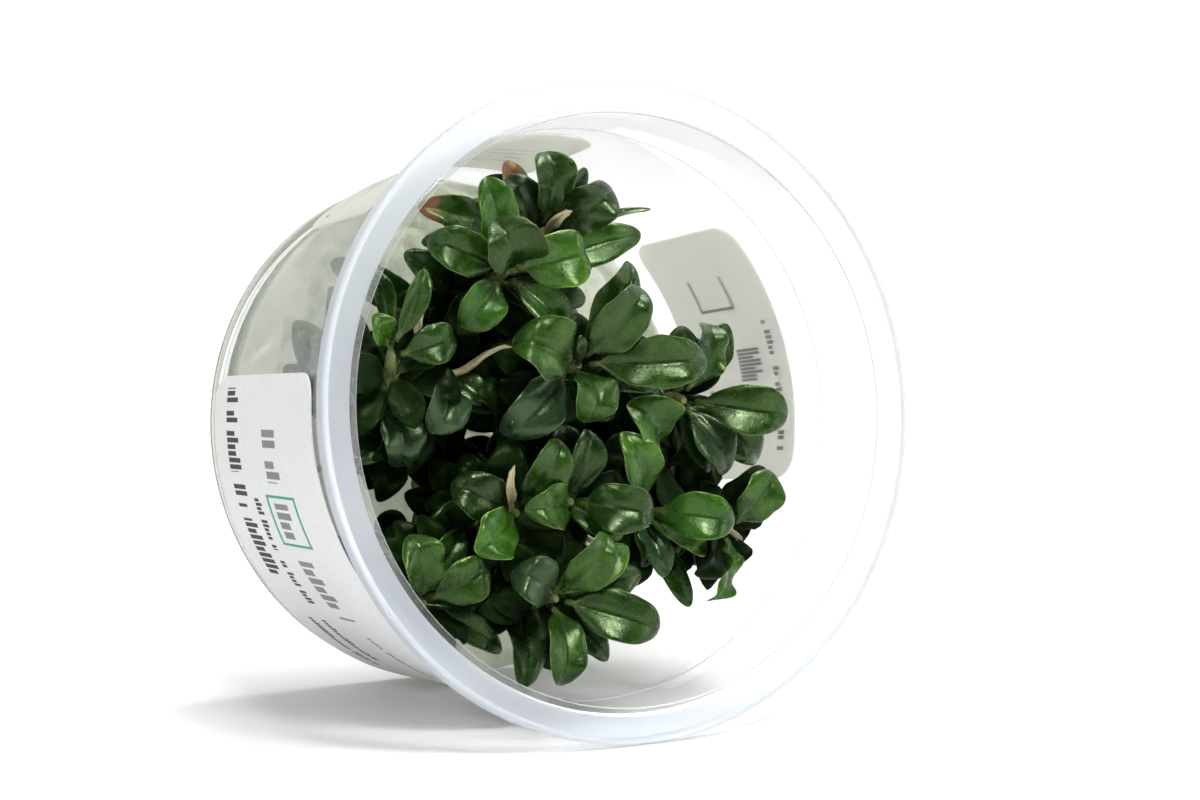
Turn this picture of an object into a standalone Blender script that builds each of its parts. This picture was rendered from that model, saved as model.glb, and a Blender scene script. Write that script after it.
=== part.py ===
"""A bucephalandra grown in an open plastic culture cup that lies on its side.

The cup, its jelly, its stickers and the whole plant are modelled with the cup upright
(x to the right, y to the upper side of the lying cup, z out of its mouth), in
millimetres. An empty then lays everything on the floor, where the cup rests on the edge
of its flange and on the edge of its base.
"""
import math

import bmesh
import bpy
import numpy as np

MM = 0.001

# Driving dimensions of the cup, in millimetres.
CUP_HEIGHT = 65.0
FLANGE_RADIUS = 50.5
MOUTH_RADIUS = 45.0
SKIRT_DEPTH = 2.4
LEDGE_HEIGHT = 50.0
LEDGE_STEP = 1.2
LEDGE_RADIUS = 43.7
COLLAR_RADIUS = 44.5
BASE_RADIUS = 41.0
BASE_CORNER = 1.6
WALL = 0.9
BOTTOM = 1.0
FLANGE = 1.0
RIM_EDGE = 0.4
CUP_SEGMENTS = 36

# The jelly that the plant was grown in, which has sagged towards the cup's low side.
FIT_GAP = 0.3
GEL_TOP = 10.6
GEL_LUMP = 0.9
GEL_SAG = 0.045
GEL_LEAN = 0.015
GEL_EDGE = 1.0
GEL_FOOT = 2.6
GEL_SEGMENTS = 32

# The stickers on the outside of the wall: middle angle, half angle, bottom, top and skew.
STICKER_THICKNESS = 0.3
STICKERS = {
    "sticker_front": (210.0, 43.0, 5.0, 48.5, 3.0),
    "sticker_back": (12.0, 28.5, 13.5, 41.5, 0.0),
    "sticker_top": (102.0, 28.5, 13.0, 41.5, 2.0),
}
STICKER_CORNER = 4.0

# The plant's own measures.
STEM_RADIUS = 1.0
STEM_SIDES = 6
PETIOLE_WIDTH = 1.1
PETIOLE_SHARE = 0.15
PETIOLE_SWELL = 0.3
LEAF_THICKNESS = 0.6
LEAF_TAPER = 0.4
LEAF_CUPPING = 0.16
LEAF_GAP = 0.5
JOINED_REACH = 0.2
ROOT_RADIUS = 0.45
ROOT_BEND = 30.0
ROOT_STEPS = 4
FOOT_LIFT = 0.75
ROOT_LIFT = 0.3

# The stem's own shape: shares of its path and how thick it is there.
STEM_SHARES = (0.0, 0.2, 0.45, 0.7, 0.9, 1.0)
STEM_SIZES = (1.5, 1.25, 1.05, 1.0, 1.0, 0.55)

# Shoots: each one's foot on the jelly as (x, y), then its middle and its crown.
SHOOTS = {
    "top": [(-3, 20), (-3, 25, 28), (-2, 28.5, 46)],
    "upper": [(-9, 12), (-11, 18, 30), (-10.5, 22.5, 49.5)],
    "left": [(-22, -2), (-26, 1, 33), (-29.5, 11.5, 46)],
    "inner": [(-15, 4), (-17, 6, 28), (-18.5, 7, 42)],
    "middle": [(-2, 4), (-1, 6, 32), (0, 7.5, 51)],
    "right": [(14, 4), (19, 3, 30), (20.5, 1, 47)],
    "core": [(9, -5), (14, -6, 28), (17, -6.5, 44)],
    "heart": [(-9, -9), (-10.5, -13, 30), (-10.5, -14.5, 47)],
    "low": [(1, -9), (0, -12, 30), (-1.5, -13.5, 48)],
    "low_right": [(14, -15), (14.5, -15.5, 29), (13, -15.5, 45)],
    "far_right": [(22, -10), (27, -16, 30), (27.5, -20, 46)],
    "low_left": [(-20, -18), (-25, -24, 30), (-27, -27, 46)],
    "bottom": [(-5, -21), (-6.5, -25, 30), (-6.5, -28, 50)],
}

# Leaves that are pieces of their own: name, shoot, how far below the crown it leaves
# the stem, tip (x, y, z), width, arch towards the mouth, roll about its length.
LEAVES = [
    ("leaf_top_tall", "top", 0.0, (-2, 41.5, 50), 6.8, 2.5, 0),
    ("leaf_top_round", "top", 1.5, (-8.5, 37.5, 48.5), 6.4, 2.0, 0),
    ("leaf_top_left", "top", 3.5, (-22, 33.5, 44.5), 5.2, 1.5, 0),
    ("leaf_top_right", "top", 0.5, (8, 34, 54), 7.6, 2.5, 0),
    ("leaf_top_far", "upper", 3.5, (13, 27.7, 51.7), 6.2, 1.5, 0),
    ("leaf_upper_point", "upper", 2.0, (-14, 37, 52), 6.4, 2.0, 0),
    ("leaf_upper_left", "upper", 0.5, (-24, 28, 50), 7.0, 2.5, 0),
    ("leaf_upper_curled", "upper", 0.0, (-15, 30.5, 56), 8.6, 3.5, 0),
    ("leaf_upper_right", "upper", 0.0, (2.5, 25, 55), 8.4, 2.5, 0),
    ("leaf_upper_low", "upper", 1.5, (-19, 14, 50), 6.8, 2.0, 0),
    ("leaf_upper_down", "upper", 1.0, (-2, 12.5, 53), 5.6, 2.0, 0),
    ("leaf_left_point", "left", 0.0, (-24.5, 23.5, 50), 3.6, 1.5, 0),
    ("leaf_left_bright", "left", 0.0, (-33, 16.5, 50.5), 4.4, 0.5, 0),
    ("leaf_left_broad", "left", 1.5, (-18.5, 13.5, 48), 5.8, 2.0, 0),
    ("leaf_left_blue", "left", 10.0, (-28, -7, 44), 7.0, 2.5, 0),
    ("leaf_inner_broad", "inner", 0.0, (-24, -1.5, 48), 7.2, 2.5, 0),
    ("leaf_middle_left", "middle", 0.0, (-12.5, 12.5, 54), 9.0, 2.5, 0),
    ("leaf_middle_back", "middle", 2.0, (9.5, 23, 54.5), 6.8, 2.0, 0),
    ("leaf_middle_up", "middle", 0.0, (9, 19, 58.5), 7.4, 2.0, 0),
    ("leaf_middle_right", "middle", 0.5, (18.5, 7, 60), 7.8, 2.5, 0),
    ("leaf_middle_silver", "middle", 0.5, (-1.5, -2, 57), 7.6, 3.0, 0),
    ("leaf_middle_blue", "middle", 3.0, (-13.5, -3, 49.5), 7.6, 3.0, 0),
    ("leaf_right_up", "right", 0.5, (25, 13.5, 51), 6.2, 2.0, 0),
    ("leaf_right_long", "right", 0.0, (35.5, -2.5, 54.5), 7.6, 2.0, 0),
    ("leaf_right_grey", "right", 1.5, (26.5, -11, 50), 6.6, 1.5, 0),
    ("leaf_right_tan", "right", 4.0, (33.5, -9.5, 48.5), 7.2, 2.0, 0),
    ("leaf_core_cupped", "core", 0.0, (8.5, 1, 52), 8.0, 2.5, 0),
    ("leaf_core_bright", "low_right", 0.5, (7, -3.5, 52.5), 6.2, 2.0, 0),
    ("leaf_heart_up", "heart", 0.0, (-4.5, -3.5, 52.5), 6.8, 2.0, 0),
    ("leaf_heart_round", "heart", 1.5, (-22, -9, 48), 7.2, 2.5, 0),
    ("leaf_heart_bright", "heart", 0.0, (-20.5, -19.5, 53), 7.4, 1.5, 0),
    ("leaf_low_left", "low", 0.0, (-12, -14, 54), 6.6, 2.0, 0),
    ("leaf_low_broad", "low", 0.5, (9.5, -16.5, 56), 7.4, 2.5, 0),
    ("leaf_low_right", "low_right", 0.0, (25.5, -18.5, 53), 7.2, 2.5, 0),
    ("leaf_far_bright", "far_right", 0.0, (34, -11, 51), 6.8, 2.0, 0),
    ("leaf_far_twisted", "far_right", 0.5, (22, -31.5, 50), 4.6, 2.0, 0),
    ("leaf_corner_upright", "low_left", 0.0, (-30, -16, 50.5), 6.8, 2.0, 0),
    ("leaf_corner_right", "low_left", 0.5, (-17.5, -21.5, 51), 6.8, 2.0, 0),
    ("leaf_bottom_left", "bottom", 0.0, (-15.5, -23, 54), 7.6, 2.5, 0),
    ("leaf_bottom_up", "bottom", 0.0, (0.5, -18.5, 57), 6.6, 2.0, 0),
    ("leaf_bottom_right", "bottom", 0.5, (8, -34, 57), 7.8, 2.0, 0),
    ("leaf_bottom_hanging", "bottom", 1.0, (-8.5, -41.5, 54.5), 6.4, 2.5, 0),
]

# Smaller leaves that are one with their shoot: shoot, drop, tip, width, arch, roll.
SMALL_LEAVES = [
    ("top", 5.0, (-6.5, 40, 45), 5.4, 1.5, 0),
    ("top", 6.0, (6, 38, 48), 4.6, 2.0, 0),
    ("top", 7.0, (16, 32, 49), 2.0, 1.0, 70),
    ("upper", 6.0, (4.5, 17.5, 47.5), 5.0, 1.5, 0),
    ("left", 3.0, (-30.5, 25, 45.5), 4.2, 1.0, 0),
    ("left", 16.0, (-33, 6.5, 43), 4.4, 1.5, 0),
    ("left", 12.5, (-24.5, 5, 45), 4.2, 1.0, 0),
    ("left", 18.0, (-33, -5, 40.5), 5.0, 1.5, 0),
    ("inner", 2.0, (-13.8, 2.7, 46), 5.2, 1.8, 0),
    ("inner", 1.0, (-10, 11.5, 47.5), 1.8, 2.0, 60),
    ("middle", 6.0, (-7, -2, 47.5), 4.2, 1.5, 0),
    ("middle", 6.0, (15, 3.5, 51.5), 4.6, 1.5, 0),
    ("right", 5.0, (29.5, 12.5, 48), 6.2, 1.5, 0),
    ("core", 3.0, (15, 3.5, 49), 3.4, 1.5, 0),
    ("heart", 2.5, (-14.5, -8.5, 53), 1.6, 0.5, 0),
    ("heart", 6.0, (-17, -17.5, 43.5), 4.2, 1.5, 0),
    ("low", 5.0, (5.5, -19.5, 51), 5.8, 2.0, 0),
    ("low", 3.0, (2.5, -2.5, 50), 6.4, 1.5, 0),
    ("low_right", 3.0, (23, -23.5, 47.5), 4.4, 2.0, 0),
    ("low_right", 8.0, (20, -31.5, 45), 4.4, 1.5, 0),
    ("low_right", 6.0, (15.5, -26.5, 46), 4.8, 2.0, 0),
    ("low_left", 5.0, (-18.5, -16, 44.5), 5.2, 1.5, 0),
    ("low_left", 5.0, (-13.5, -35.5, 45.5), 4.8, 1.5, 0),
    ("bottom", 3.0, (5, -21, 54), 5.8, 2.0, 0),
    ("bottom", 6.0, (9.5, -25.5, 49.5), 6.2, 2.0, 0),
    ("bottom", 13.0, (-13, -40.5, 51), 7.4, 2.0, 0),
    ("bottom", 5.0, (1.5, -38, 51.5), 5.8, 1.5, 0),
    ("top", 0.5, (-1.2, 31.0, 52.5), 1.8, 0.3, 0),
    ("top", 9.0, (9.0, 25.5, 46), 3.6, 1.5, 0),
    ("top", 9.0, (-19.5, 28.5, 40), 5.0, 1.5, 0),
    ("left", 5.0, (-26.5, 14.5, 43.5), 3.0, 0.6, 0),
    ("left", 8.0, (-21, 19.5, 40), 4.2, 1.5, 0),
    ("middle", 0.5, (-1.2, 11.5, 55), 2.2, 0.3, 0),
    ("low_left", 8.0, (-22, -35.7, 44), 5.0, 1.5, 0),
    ("low_right", 5.0, (18, -20, 44), 3.0, 1.0, 0),
    ("far_right", 6.0, (31.5, -23, 44), 1.6, 1.5, 0),
]

# Lower leaves, hidden under the others: shoot, drop, heading, length and width.
LOWER_LEAVES = [
    ("top", 13.0, 40, 13.0, 5.5),
    ("top", 16.0, 165, 13.0, 5.5),
    ("top", 20.0, 100, 11.0, 5.0),
    ("upper", 14.0, 150, 14.0, 5.5),
    ("upper", 19.0, 225, 12.0, 5.0),
    ("upper", 12.0, 340, 11.0, 5.0),
    ("left", 22.0, 130, 11.0, 5.0),
    ("left", 24.0, 200, 10.0, 5.0),
    ("left", 27.0, 123, 19.0, 6.5),
    ("left", 25.0, 108, 22.0, 6.5),
    ("left", 30.0, 141, 19.0, 6.5),
    ("left", 32.0, 121, 22.5, 7.5),
    ("left", 31.0, 103, 25.0, 7.0),
    ("upper", 26.0, 153, 22.0, 6.5),
    ("inner", 12.0, 160, 11.0, 5.0),
    ("middle", 14.0, 60, 12.0, 5.5),
    ("middle", 18.0, 330, 11.0, 5.0),
    ("right", 12.0, 45, 12.0, 5.5),
    ("right", 16.0, 330, 11.0, 5.0),
    ("heart", 13.0, 190, 12.0, 5.5),
    ("heart", 18.0, 100, 10.0, 5.0),
    ("low", 14.0, 280, 10.0, 5.0),
    ("far_right", 12.0, 20, 9.0, 5.0),
    ("far_right", 16.0, 280, 10.0, 5.0),
    ("low_left", 12.0, 120, 9.0, 5.0),
    ("low_left", 16.0, 30, 10.0, 5.0),
    ("low_left", 19.0, 300, 11.0, 5.0),
    ("bottom", 16.0, 320, 12.0, 5.5),
    ("bottom", 20.0, 225, 10.0, 5.0),
]

# Roots that run over the jelly from the foot of a shoot: shoot, heading, length.
ROOTS = [
    ("top", 150, 13.0),
    ("top", 60, 9.0),
    ("upper", 175, 15.0),
    ("left", 200, 11.0),
    ("inner", 20, 7.0),
    ("right", 20, 13.0),
    ("heart", 235, 12.0),
    ("low_right", 300, 12.0),
    ("low_left", 200, 10.0),
    ("bottom", 265, 10.0),
]

# Stations along a blade, as shares of its length, closer where its outline turns.
BLADE_STATIONS = (0.0, 0.14, 0.38, 0.64, 0.85, 0.96)
LOWER_LEAF_RISE = 5.0
LOWER_LEAF_ARCH = 1.5


def unit(vector):
    """Return the vector at length one."""
    return vector / np.linalg.norm(vector)


def path_point(path, share):
    """Return the point at a share of a three-point path, on one smooth curve."""
    start, middle, end = (np.array(point, float) for point in path)
    bend = 2.0 * middle - 0.5 * (start + end)
    return (1 - share) ** 2 * start + 2 * share * (1 - share) * bend + share ** 2 * end


def shoot_path(shoot):
    """Return the three points of a shoot's stem, from its foot on the jelly."""
    (x, y), middle, crown = SHOOTS[shoot]
    return [(x, y, gel_height(x, y) + FOOT_LIFT), middle, crown]


def stem_point(shoot, drop):
    """Return the point of a shoot's stem that lies a drop below its crown."""
    path = shoot_path(shoot)
    length = np.linalg.norm(np.subtract(path[2], path[1]))
    length += np.linalg.norm(np.subtract(path[1], path[0]))
    return path_point(path, 1.0 - drop / length)


def joined_leaves(shoot):
    """Return the leaves that are one with a shoot: drop, tip, width, arch and roll."""
    leaves = [leaf[1:] for leaf in SMALL_LEAVES if leaf[0] == shoot]
    for owner, drop, heading, length, width in LOWER_LEAVES:
        if owner == shoot:
            angle = math.radians(heading)
            away = (length * math.cos(angle), length * math.sin(angle), LOWER_LEAF_RISE)
            tip = stem_point(shoot, drop) + away
            leaves.append((drop, tip, width, LOWER_LEAF_ARCH, 0))
    return leaves


def leaf_base(shoot, drop, tip, reach):
    """Return where a leaf starts: beside the stem, towards its tip."""
    start = stem_point(shoot, drop)
    away = np.array(tip, float) - start
    away[2] = 0.0
    return start + reach * unit(away)


def leaf_frame(base, tip, arch, roll, share):
    """Return a leaf's midrib point, its direction, its upper side and its left side."""
    base, tip = np.array(base, float), np.array(tip, float)
    chord = tip - base
    upper = np.array((0.0, 0.0, 1.0))
    upper = unit(upper - chord * (upper @ chord) / (chord @ chord))
    bend = (base + tip) / 2 + 2.0 * arch * upper
    point = (1 - share) ** 2 * base + 2 * share * (1 - share) * bend + share ** 2 * tip
    along = unit((1 - share) * (bend - base) + share * (tip - bend))
    normal = unit(upper - along * (upper @ along))
    side = np.cross(normal, along)
    angle = math.radians(roll)
    turned = normal * math.cos(angle) + side * math.sin(angle)
    return point, along, turned, np.cross(turned, along)


def blade_outline(share):
    """Return the half width of a blade at a share of it, of an obovate leaf."""
    return math.sin(math.pi * share ** 1.1) ** 0.55 if 0.0 < share < 1.0 else 0.0


def leaf_rings(base, tip, width, arch, roll):
    """Return a leaf's four-cornered rings from its petiole to near its tip, and its tip."""
    rings = [(0.0, PETIOLE_WIDTH / 2, PETIOLE_WIDTH)]
    for station in BLADE_STATIONS:
        share = PETIOLE_SHARE + (1.0 - PETIOLE_SHARE) * station
        half = max(width / 2 * blade_outline(station), PETIOLE_WIDTH / 2)
        thickness = LEAF_THICKNESS * (1.0 - LEAF_TAPER * station)
        rings.append((share, half, thickness + PETIOLE_SWELL * (1.0 - station) ** 4))
    corners = []
    for share, half, thickness in rings:
        point, _, upper, side = leaf_frame(base, tip, arch, roll, share)
        lift = LEAF_CUPPING * max(half - PETIOLE_WIDTH / 2, 0.0) * upper
        corners.append((
            point + side * half + lift,
            point + upper * thickness / 2,
            point - side * half + lift,
            point - upper * thickness / 2,
        ))
    end = leaf_frame(base, tip, arch, roll, 1.0)[0]
    return corners, end


def tube_rings(points, radius, sides):
    """Return rings of a tube along a list of points."""
    rings = []
    for index, point in enumerate(points):
        before = points[max(index - 1, 0)]
        after = points[min(index + 1, len(points) - 1)]
        along = unit(after - before)
        guide = np.array((1.0, 0.0, 0.0))
        if abs(along[0]) > 0.9:
            guide = np.array((0.0, 1.0, 0.0))
        first = unit(np.cross(guide, along))
        second = np.cross(along, first)
        ring = []
        for step in range(sides):
            turn = 2 * math.pi * step / sides
            size = radius[index]
            ring.append(point + size * (first * math.cos(turn) + second * math.sin(turn)))
        rings.append(ring)
    return rings


def leaf_shell(base, tip, width, arch, roll):
    """Return one leaf as vertices and faces."""
    rings, end = leaf_rings(base, tip, width, arch, roll)
    return lofted(rings, end)


def lofted(rings, end=None):
    """Return vertices and faces that skin the rings, ending flat or at a point."""
    count = len(rings[0])
    vertices = [corner for ring in rings for corner in ring]
    faces = [tuple(range(count))]
    for row in range(len(rings) - 1):
        for column in range(count):
            a = row * count + column
            b = row * count + (column + 1) % count
            faces.append((b, a, a + count, b + count))
    last = (len(rings) - 1) * count
    if end is None:
        faces.append(tuple(last + step for step in reversed(range(count))))
    else:
        vertices.append(end)
        for column in range(count):
            faces.append((last + (column + 1) % count, last + column, len(vertices) - 1))
    return np.array(vertices), faces


def stem_shell(shoot):
    """Return the stem of a shoot, thicker at its foot, with a blunt crown."""
    points = [path_point(shoot_path(shoot), share) for share in STEM_SHARES]
    radius = [STEM_RADIUS * size for size in STEM_SIZES]
    return lofted(tube_rings(points, radius, STEM_SIDES))


def root_shell(shoot, heading, length):
    """Return a root that creeps over the jelly from the foot of its shoot."""
    foot_x, foot_y = SHOOTS[shoot][0]
    points = []
    for step in range(ROOT_STEPS + 1):
        share = step / ROOT_STEPS
        angle = math.radians(heading + ROOT_BEND * math.sin(2.5 * share))
        x = foot_x + math.cos(angle) * length * share
        y = foot_y + math.sin(angle) * length * share
        points.append(np.array((x, y, gel_height(x, y) + ROOT_LIFT + ROOT_RADIUS)))
    return lofted(tube_rings(points, [ROOT_RADIUS] * len(points), 5))


def wall_radius(height):
    """Return the outer radius of the cup's wall at a height, with its step at the ledge."""
    shoulder = LEDGE_HEIGHT - LEDGE_STEP / 2
    if height <= shoulder:
        share = (height - BASE_CORNER) / (shoulder - BASE_CORNER)
        return BASE_RADIUS + share * (LEDGE_RADIUS + WALL - BASE_RADIUS)
    foot, collar = LEDGE_RADIUS + WALL, COLLAR_RADIUS + WALL
    if height <= shoulder + LEDGE_STEP:
        return foot + (height - shoulder) / LEDGE_STEP * (collar - foot)
    share = (height - shoulder - LEDGE_STEP) / (CUP_HEIGHT - FLANGE - shoulder - LEDGE_STEP)
    return collar + share * (MOUTH_RADIUS + WALL - collar)


def cup_profile():
    """Return the cup's section as (radius, height), round its outside and back inside."""
    shoulder = LEDGE_HEIGHT - LEDGE_STEP / 2
    collar = LEDGE_HEIGHT + LEDGE_STEP / 2
    shelf = CUP_HEIGHT - FLANGE
    skirt = CUP_HEIGHT - SKIRT_DEPTH
    return [
        (0.0, 0.0),
        (BASE_RADIUS - BASE_CORNER, 0.0),
        (BASE_RADIUS - BASE_CORNER / 4, BASE_CORNER / 3),
        (BASE_RADIUS, BASE_CORNER),
        (wall_radius(shoulder), shoulder),
        (wall_radius(collar), collar),
        (MOUTH_RADIUS + WALL, shelf),
        (FLANGE_RADIUS - WALL, shelf),
        (FLANGE_RADIUS - WALL, skirt),
        (FLANGE_RADIUS, skirt),
        (FLANGE_RADIUS, CUP_HEIGHT - RIM_EDGE),
        (FLANGE_RADIUS - RIM_EDGE, CUP_HEIGHT),
        (MOUTH_RADIUS + RIM_EDGE, CUP_HEIGHT),
        (MOUTH_RADIUS, CUP_HEIGHT - RIM_EDGE),
        (COLLAR_RADIUS, LEDGE_HEIGHT),
        (LEDGE_RADIUS, shoulder - RIM_EDGE),
        (BASE_RADIUS - WALL, BASE_CORNER),
        (BASE_RADIUS - BASE_CORNER, BOTTOM),
        (0.0, BOTTOM),
    ]


def gel_height(x, y):
    """Return the uneven top of the jelly."""
    swell = math.sin(0.11 * x + 1.0) * math.cos(0.09 * y)
    lumps = math.sin(0.12 * x - 0.10 * y)
    level = GEL_TOP + GEL_LEAN * x - GEL_SAG * y
    return level + GEL_LUMP * (0.5 * swell + 0.5 * lumps)


def gel_shell():
    """Return the disc of jelly in the bottom of the cup, clear of its wall."""
    floor = BOTTOM + FIT_GAP
    ease = WALL + FIT_GAP + 0.2
    low_radius = wall_radius(GEL_FOOT) - ease
    rim_radius = wall_radius(GEL_TOP - GEL_EDGE) - ease
    rings = []
    layers = [(low_radius - GEL_EDGE - 0.4, floor), (low_radius, GEL_FOOT)]
    for radius, height in layers + [(rim_radius * part, None) for part in (1, 0.8, 0.55, 0.3)]:
        ring = []
        for step in range(GEL_SEGMENTS):
            angle = 2 * math.pi * step / GEL_SEGMENTS
            x, y = radius * math.cos(angle), radius * math.sin(angle)
            ring.append(np.array((x, y, gel_height(x, y) if height is None else height)))
        rings.append(ring)
    return lofted(rings, np.array((0.0, 0.0, gel_height(0.0, 0.0))))


def sticker_shell(middle, half, low, high, skew):
    """Return a sticker with rounded corners that bends round the cup's wall."""
    corner_angle = math.degrees(STICKER_CORNER / BASE_RADIUS)
    ends = [corner_angle * share for share in (0.0, 0.12, 0.4, 1.0)]
    inner = np.linspace(-half + corner_angle, half - corner_angle, round(half / 2))
    first, last = [end - half for end in ends[:-1]], [half - end for end in ends[-2::-1]]
    ledge = (LEDGE_HEIGHT - LEDGE_STEP / 2, LEDGE_HEIGHT + LEDGE_STEP / 2)
    rings = []
    for angle in first + list(inner) + last:
        past = max(corner_angle - (half - abs(angle)), 0.0) / corner_angle
        inset = STICKER_CORNER * (1.0 - math.sqrt(1.0 - past * past))
        heights = [low + inset]
        heights += [height for height in ledge if height < high - inset - 1.0]
        heights.append(high - inset)
        ring = []
        for lift, order in ((FIT_GAP, 1), (FIT_GAP + STICKER_THICKNESS, -1)):
            for z in heights[::order]:
                turn = math.radians(middle + angle + skew * ((z - low) / (high - low) - 0.5))
                radius = wall_radius(z) + lift
                ring.append(np.array((radius * math.cos(turn), radius * math.sin(turn), z)))
        rings.append(ring)
    return lofted(rings)


def material(name, colour, roughness, transmission=0.0):
    """Return a plain material with its colour, its roughness and how clear it is."""
    made = bpy.data.materials.new(name)
    made.use_nodes = True
    shader = made.node_tree.nodes["Principled BSDF"]
    shader.inputs["Base Color"].default_value = (*colour, 1.0)
    shader.inputs["Roughness"].default_value = roughness
    shader.inputs["Metallic"].default_value = 0.0
    shader.inputs["Transmission Weight"].default_value = transmission
    return made


def place(name, mesh, finish, lying):
    """Make an object of a mesh and lay it down with the cup."""
    mesh.materials.append(finish)
    made = bpy.data.objects.new(name, mesh)
    bpy.context.collection.objects.link(made)
    made.parent = lying
    return made


def shell_mesh(name, *shells):
    """Make one mesh of closed shells given in millimetres, with faces pointing out."""
    work = bmesh.new()
    for vertices, faces in shells:
        points = [work.verts.new(vertex * MM) for vertex in vertices]
        for face in faces:
            work.faces.new([points[index] for index in face])
    bmesh.ops.recalc_face_normals(work, faces=work.faces)
    mesh = bpy.data.meshes.new(name)
    work.to_mesh(mesh)
    work.free()
    mesh.shade_smooth()
    mesh.set_sharp_from_angle(angle=math.radians(50))
    return mesh


def cup_mesh():
    """Spin the cup's section, with flat facets where the cup lies on the floor."""
    work = bmesh.new()
    half_step = math.pi / CUP_SEGMENTS
    points = []
    for radius, height in cup_profile():
        x, y = radius * math.cos(half_step), radius * math.sin(half_step)
        points.append(work.verts.new((x * MM, y * MM, height * MM)))
    edges = [work.edges.new(pair) for pair in zip(points, points[1:])]
    bmesh.ops.spin(
        work,
        geom=points + edges,
        axis=(0, 0, 1),
        cent=(0, 0, 0),
        angle=2 * math.pi,
        steps=CUP_SEGMENTS,
    )
    bmesh.ops.remove_doubles(work, verts=work.verts, dist=1e-6)
    bmesh.ops.recalc_face_normals(work, faces=work.faces)
    mesh = bpy.data.meshes.new("cup")
    work.to_mesh(mesh)
    work.free()
    mesh.shade_smooth()
    mesh.set_sharp_from_angle(angle=math.radians(35))
    return mesh


def lying_empty():
    """Make the empty that lays the cup on the edges of its base and of its flange."""
    facet = math.cos(math.pi / CUP_SEGMENTS)
    skirt = CUP_HEIGHT - SKIRT_DEPTH
    tilt = math.atan2((FLANGE_RADIUS - BASE_RADIUS) * facet, skirt - BASE_CORNER)
    rise = BASE_RADIUS * facet * math.cos(tilt) - BASE_CORNER * math.sin(tilt)
    front = -CUP_HEIGHT * math.cos(tilt) - (FLANGE_RADIUS - RIM_EDGE) * facet * math.sin(tilt)
    back = (BASE_RADIUS - BASE_CORNER) * facet * math.sin(tilt)
    lying = bpy.data.objects.new("lying_cup", None)
    bpy.context.collection.objects.link(lying)
    lying.rotation_euler = (math.pi / 2 - tilt, 0.0, 0.0)
    lying.location = (0.0, -(front + back) / 2 * MM, rise * MM)
    return lying


def shoot_object(shoot, finish, lying):
    """Make a shoot: its stem, with its roots and its smaller leaves joined to it."""
    made = place("shoot_" + shoot, shell_mesh("shoot_" + shoot, stem_shell(shoot)), finish, lying)
    parts = [root_shell(*root) for root in ROOTS if root[0] == shoot]
    for drop, tip, width, arch, roll in joined_leaves(shoot):
        base = leaf_base(shoot, drop, tip, JOINED_REACH)
        parts.append(leaf_shell(base, tip, width, arch, roll))
    for number, part in enumerate(parts):
        name = "part_of_" + made.name + "_" + str(number)
        joined = place(name, shell_mesh(name, part), finish, lying)
        joined.hide_render = True
        joined.display_type = "WIRE"
        union = made.modifiers.new("join " + name, "BOOLEAN")
        union.operation = "UNION"
        union.solver = "EXACT"
        union.object = joined
    return made


def build():
    """Build the whole object."""
    for old in list(bpy.data.objects):
        bpy.data.objects.remove(old)
    lying = lying_empty()
    plastic = material("frosted plastic", (0.82, 0.85, 0.88), 0.35, 0.8)
    jelly = material("jelly", (0.78, 0.82, 0.62), 0.2, 0.6)
    paper = material("sticker paper", (0.85, 0.85, 0.84), 0.6)
    leaf_green = material("leaf green", (0.035, 0.11, 0.022), 0.3)
    stem_green = material("stem green", (0.07, 0.12, 0.035), 0.45)
    place("cup", cup_mesh(), plastic, lying)
    place("gel", shell_mesh("gel", gel_shell()), jelly, lying)
    for name, sizes in STICKERS.items():
        place(name, shell_mesh(name, sticker_shell(*sizes)), paper, lying)
    for shoot in SHOOTS:
        shoot_object(shoot, stem_green, lying)
    for name, shoot, drop, tip, width, arch, roll in LEAVES:
        base = leaf_base(shoot, drop, tip, STEM_RADIUS + LEAF_GAP)
        mesh = shell_mesh(name, leaf_shell(base, tip, width, arch, roll))
        place(name, mesh, leaf_green, lying)


build()
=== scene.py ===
"""Looks of a bucephalandra grown in a clear culture cup that lies on its side.

The plant, its jelly and the cup are modelled with the cup upright, in millimetres, as in
the solids: x to the right, y to the upper side of the lying cup, z out of its mouth. The
matrix LYING then lays each mesh down in the row's frame.
"""
import math
import random

import bmesh
import bpy
from mathutils import Matrix, Vector


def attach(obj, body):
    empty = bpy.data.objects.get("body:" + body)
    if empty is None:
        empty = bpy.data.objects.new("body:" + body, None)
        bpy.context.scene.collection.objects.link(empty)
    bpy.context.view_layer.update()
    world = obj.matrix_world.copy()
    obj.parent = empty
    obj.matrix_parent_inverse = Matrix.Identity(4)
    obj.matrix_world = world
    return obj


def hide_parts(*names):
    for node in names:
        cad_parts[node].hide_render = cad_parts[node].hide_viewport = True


# The cup, in millimetres, as the solids have it.
CUP_HEIGHT = 65.0
FLANGE_RADIUS = 50.5
MOUTH_RADIUS = 45.0
SKIRT_DEPTH = 2.4
LEDGE_HEIGHT = 50.0
LEDGE_STEP = 1.2
LEDGE_RADIUS = 43.7
COLLAR_RADIUS = 44.5
BASE_RADIUS = 41.0
BASE_CORNER = 1.6
WALL = 0.9
BOTTOM = 1.0
FLANGE = 1.0
RIM_EDGE = 0.4
FACE_DIP = 0.3
FOOT_TOP = 2.6
CUP_SEGMENTS = 144

# The solids' wall has this many flats, and the round wall here touches the middle of each.
FLATS = 36
ROUND = math.cos(math.pi / FLATS)

# The cup's finishes, in the order of its material slots; the last two are painted shade.
CLEAR, MILKY, FOOT_SHADE, EDGE_SHADE = range(4)

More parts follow.
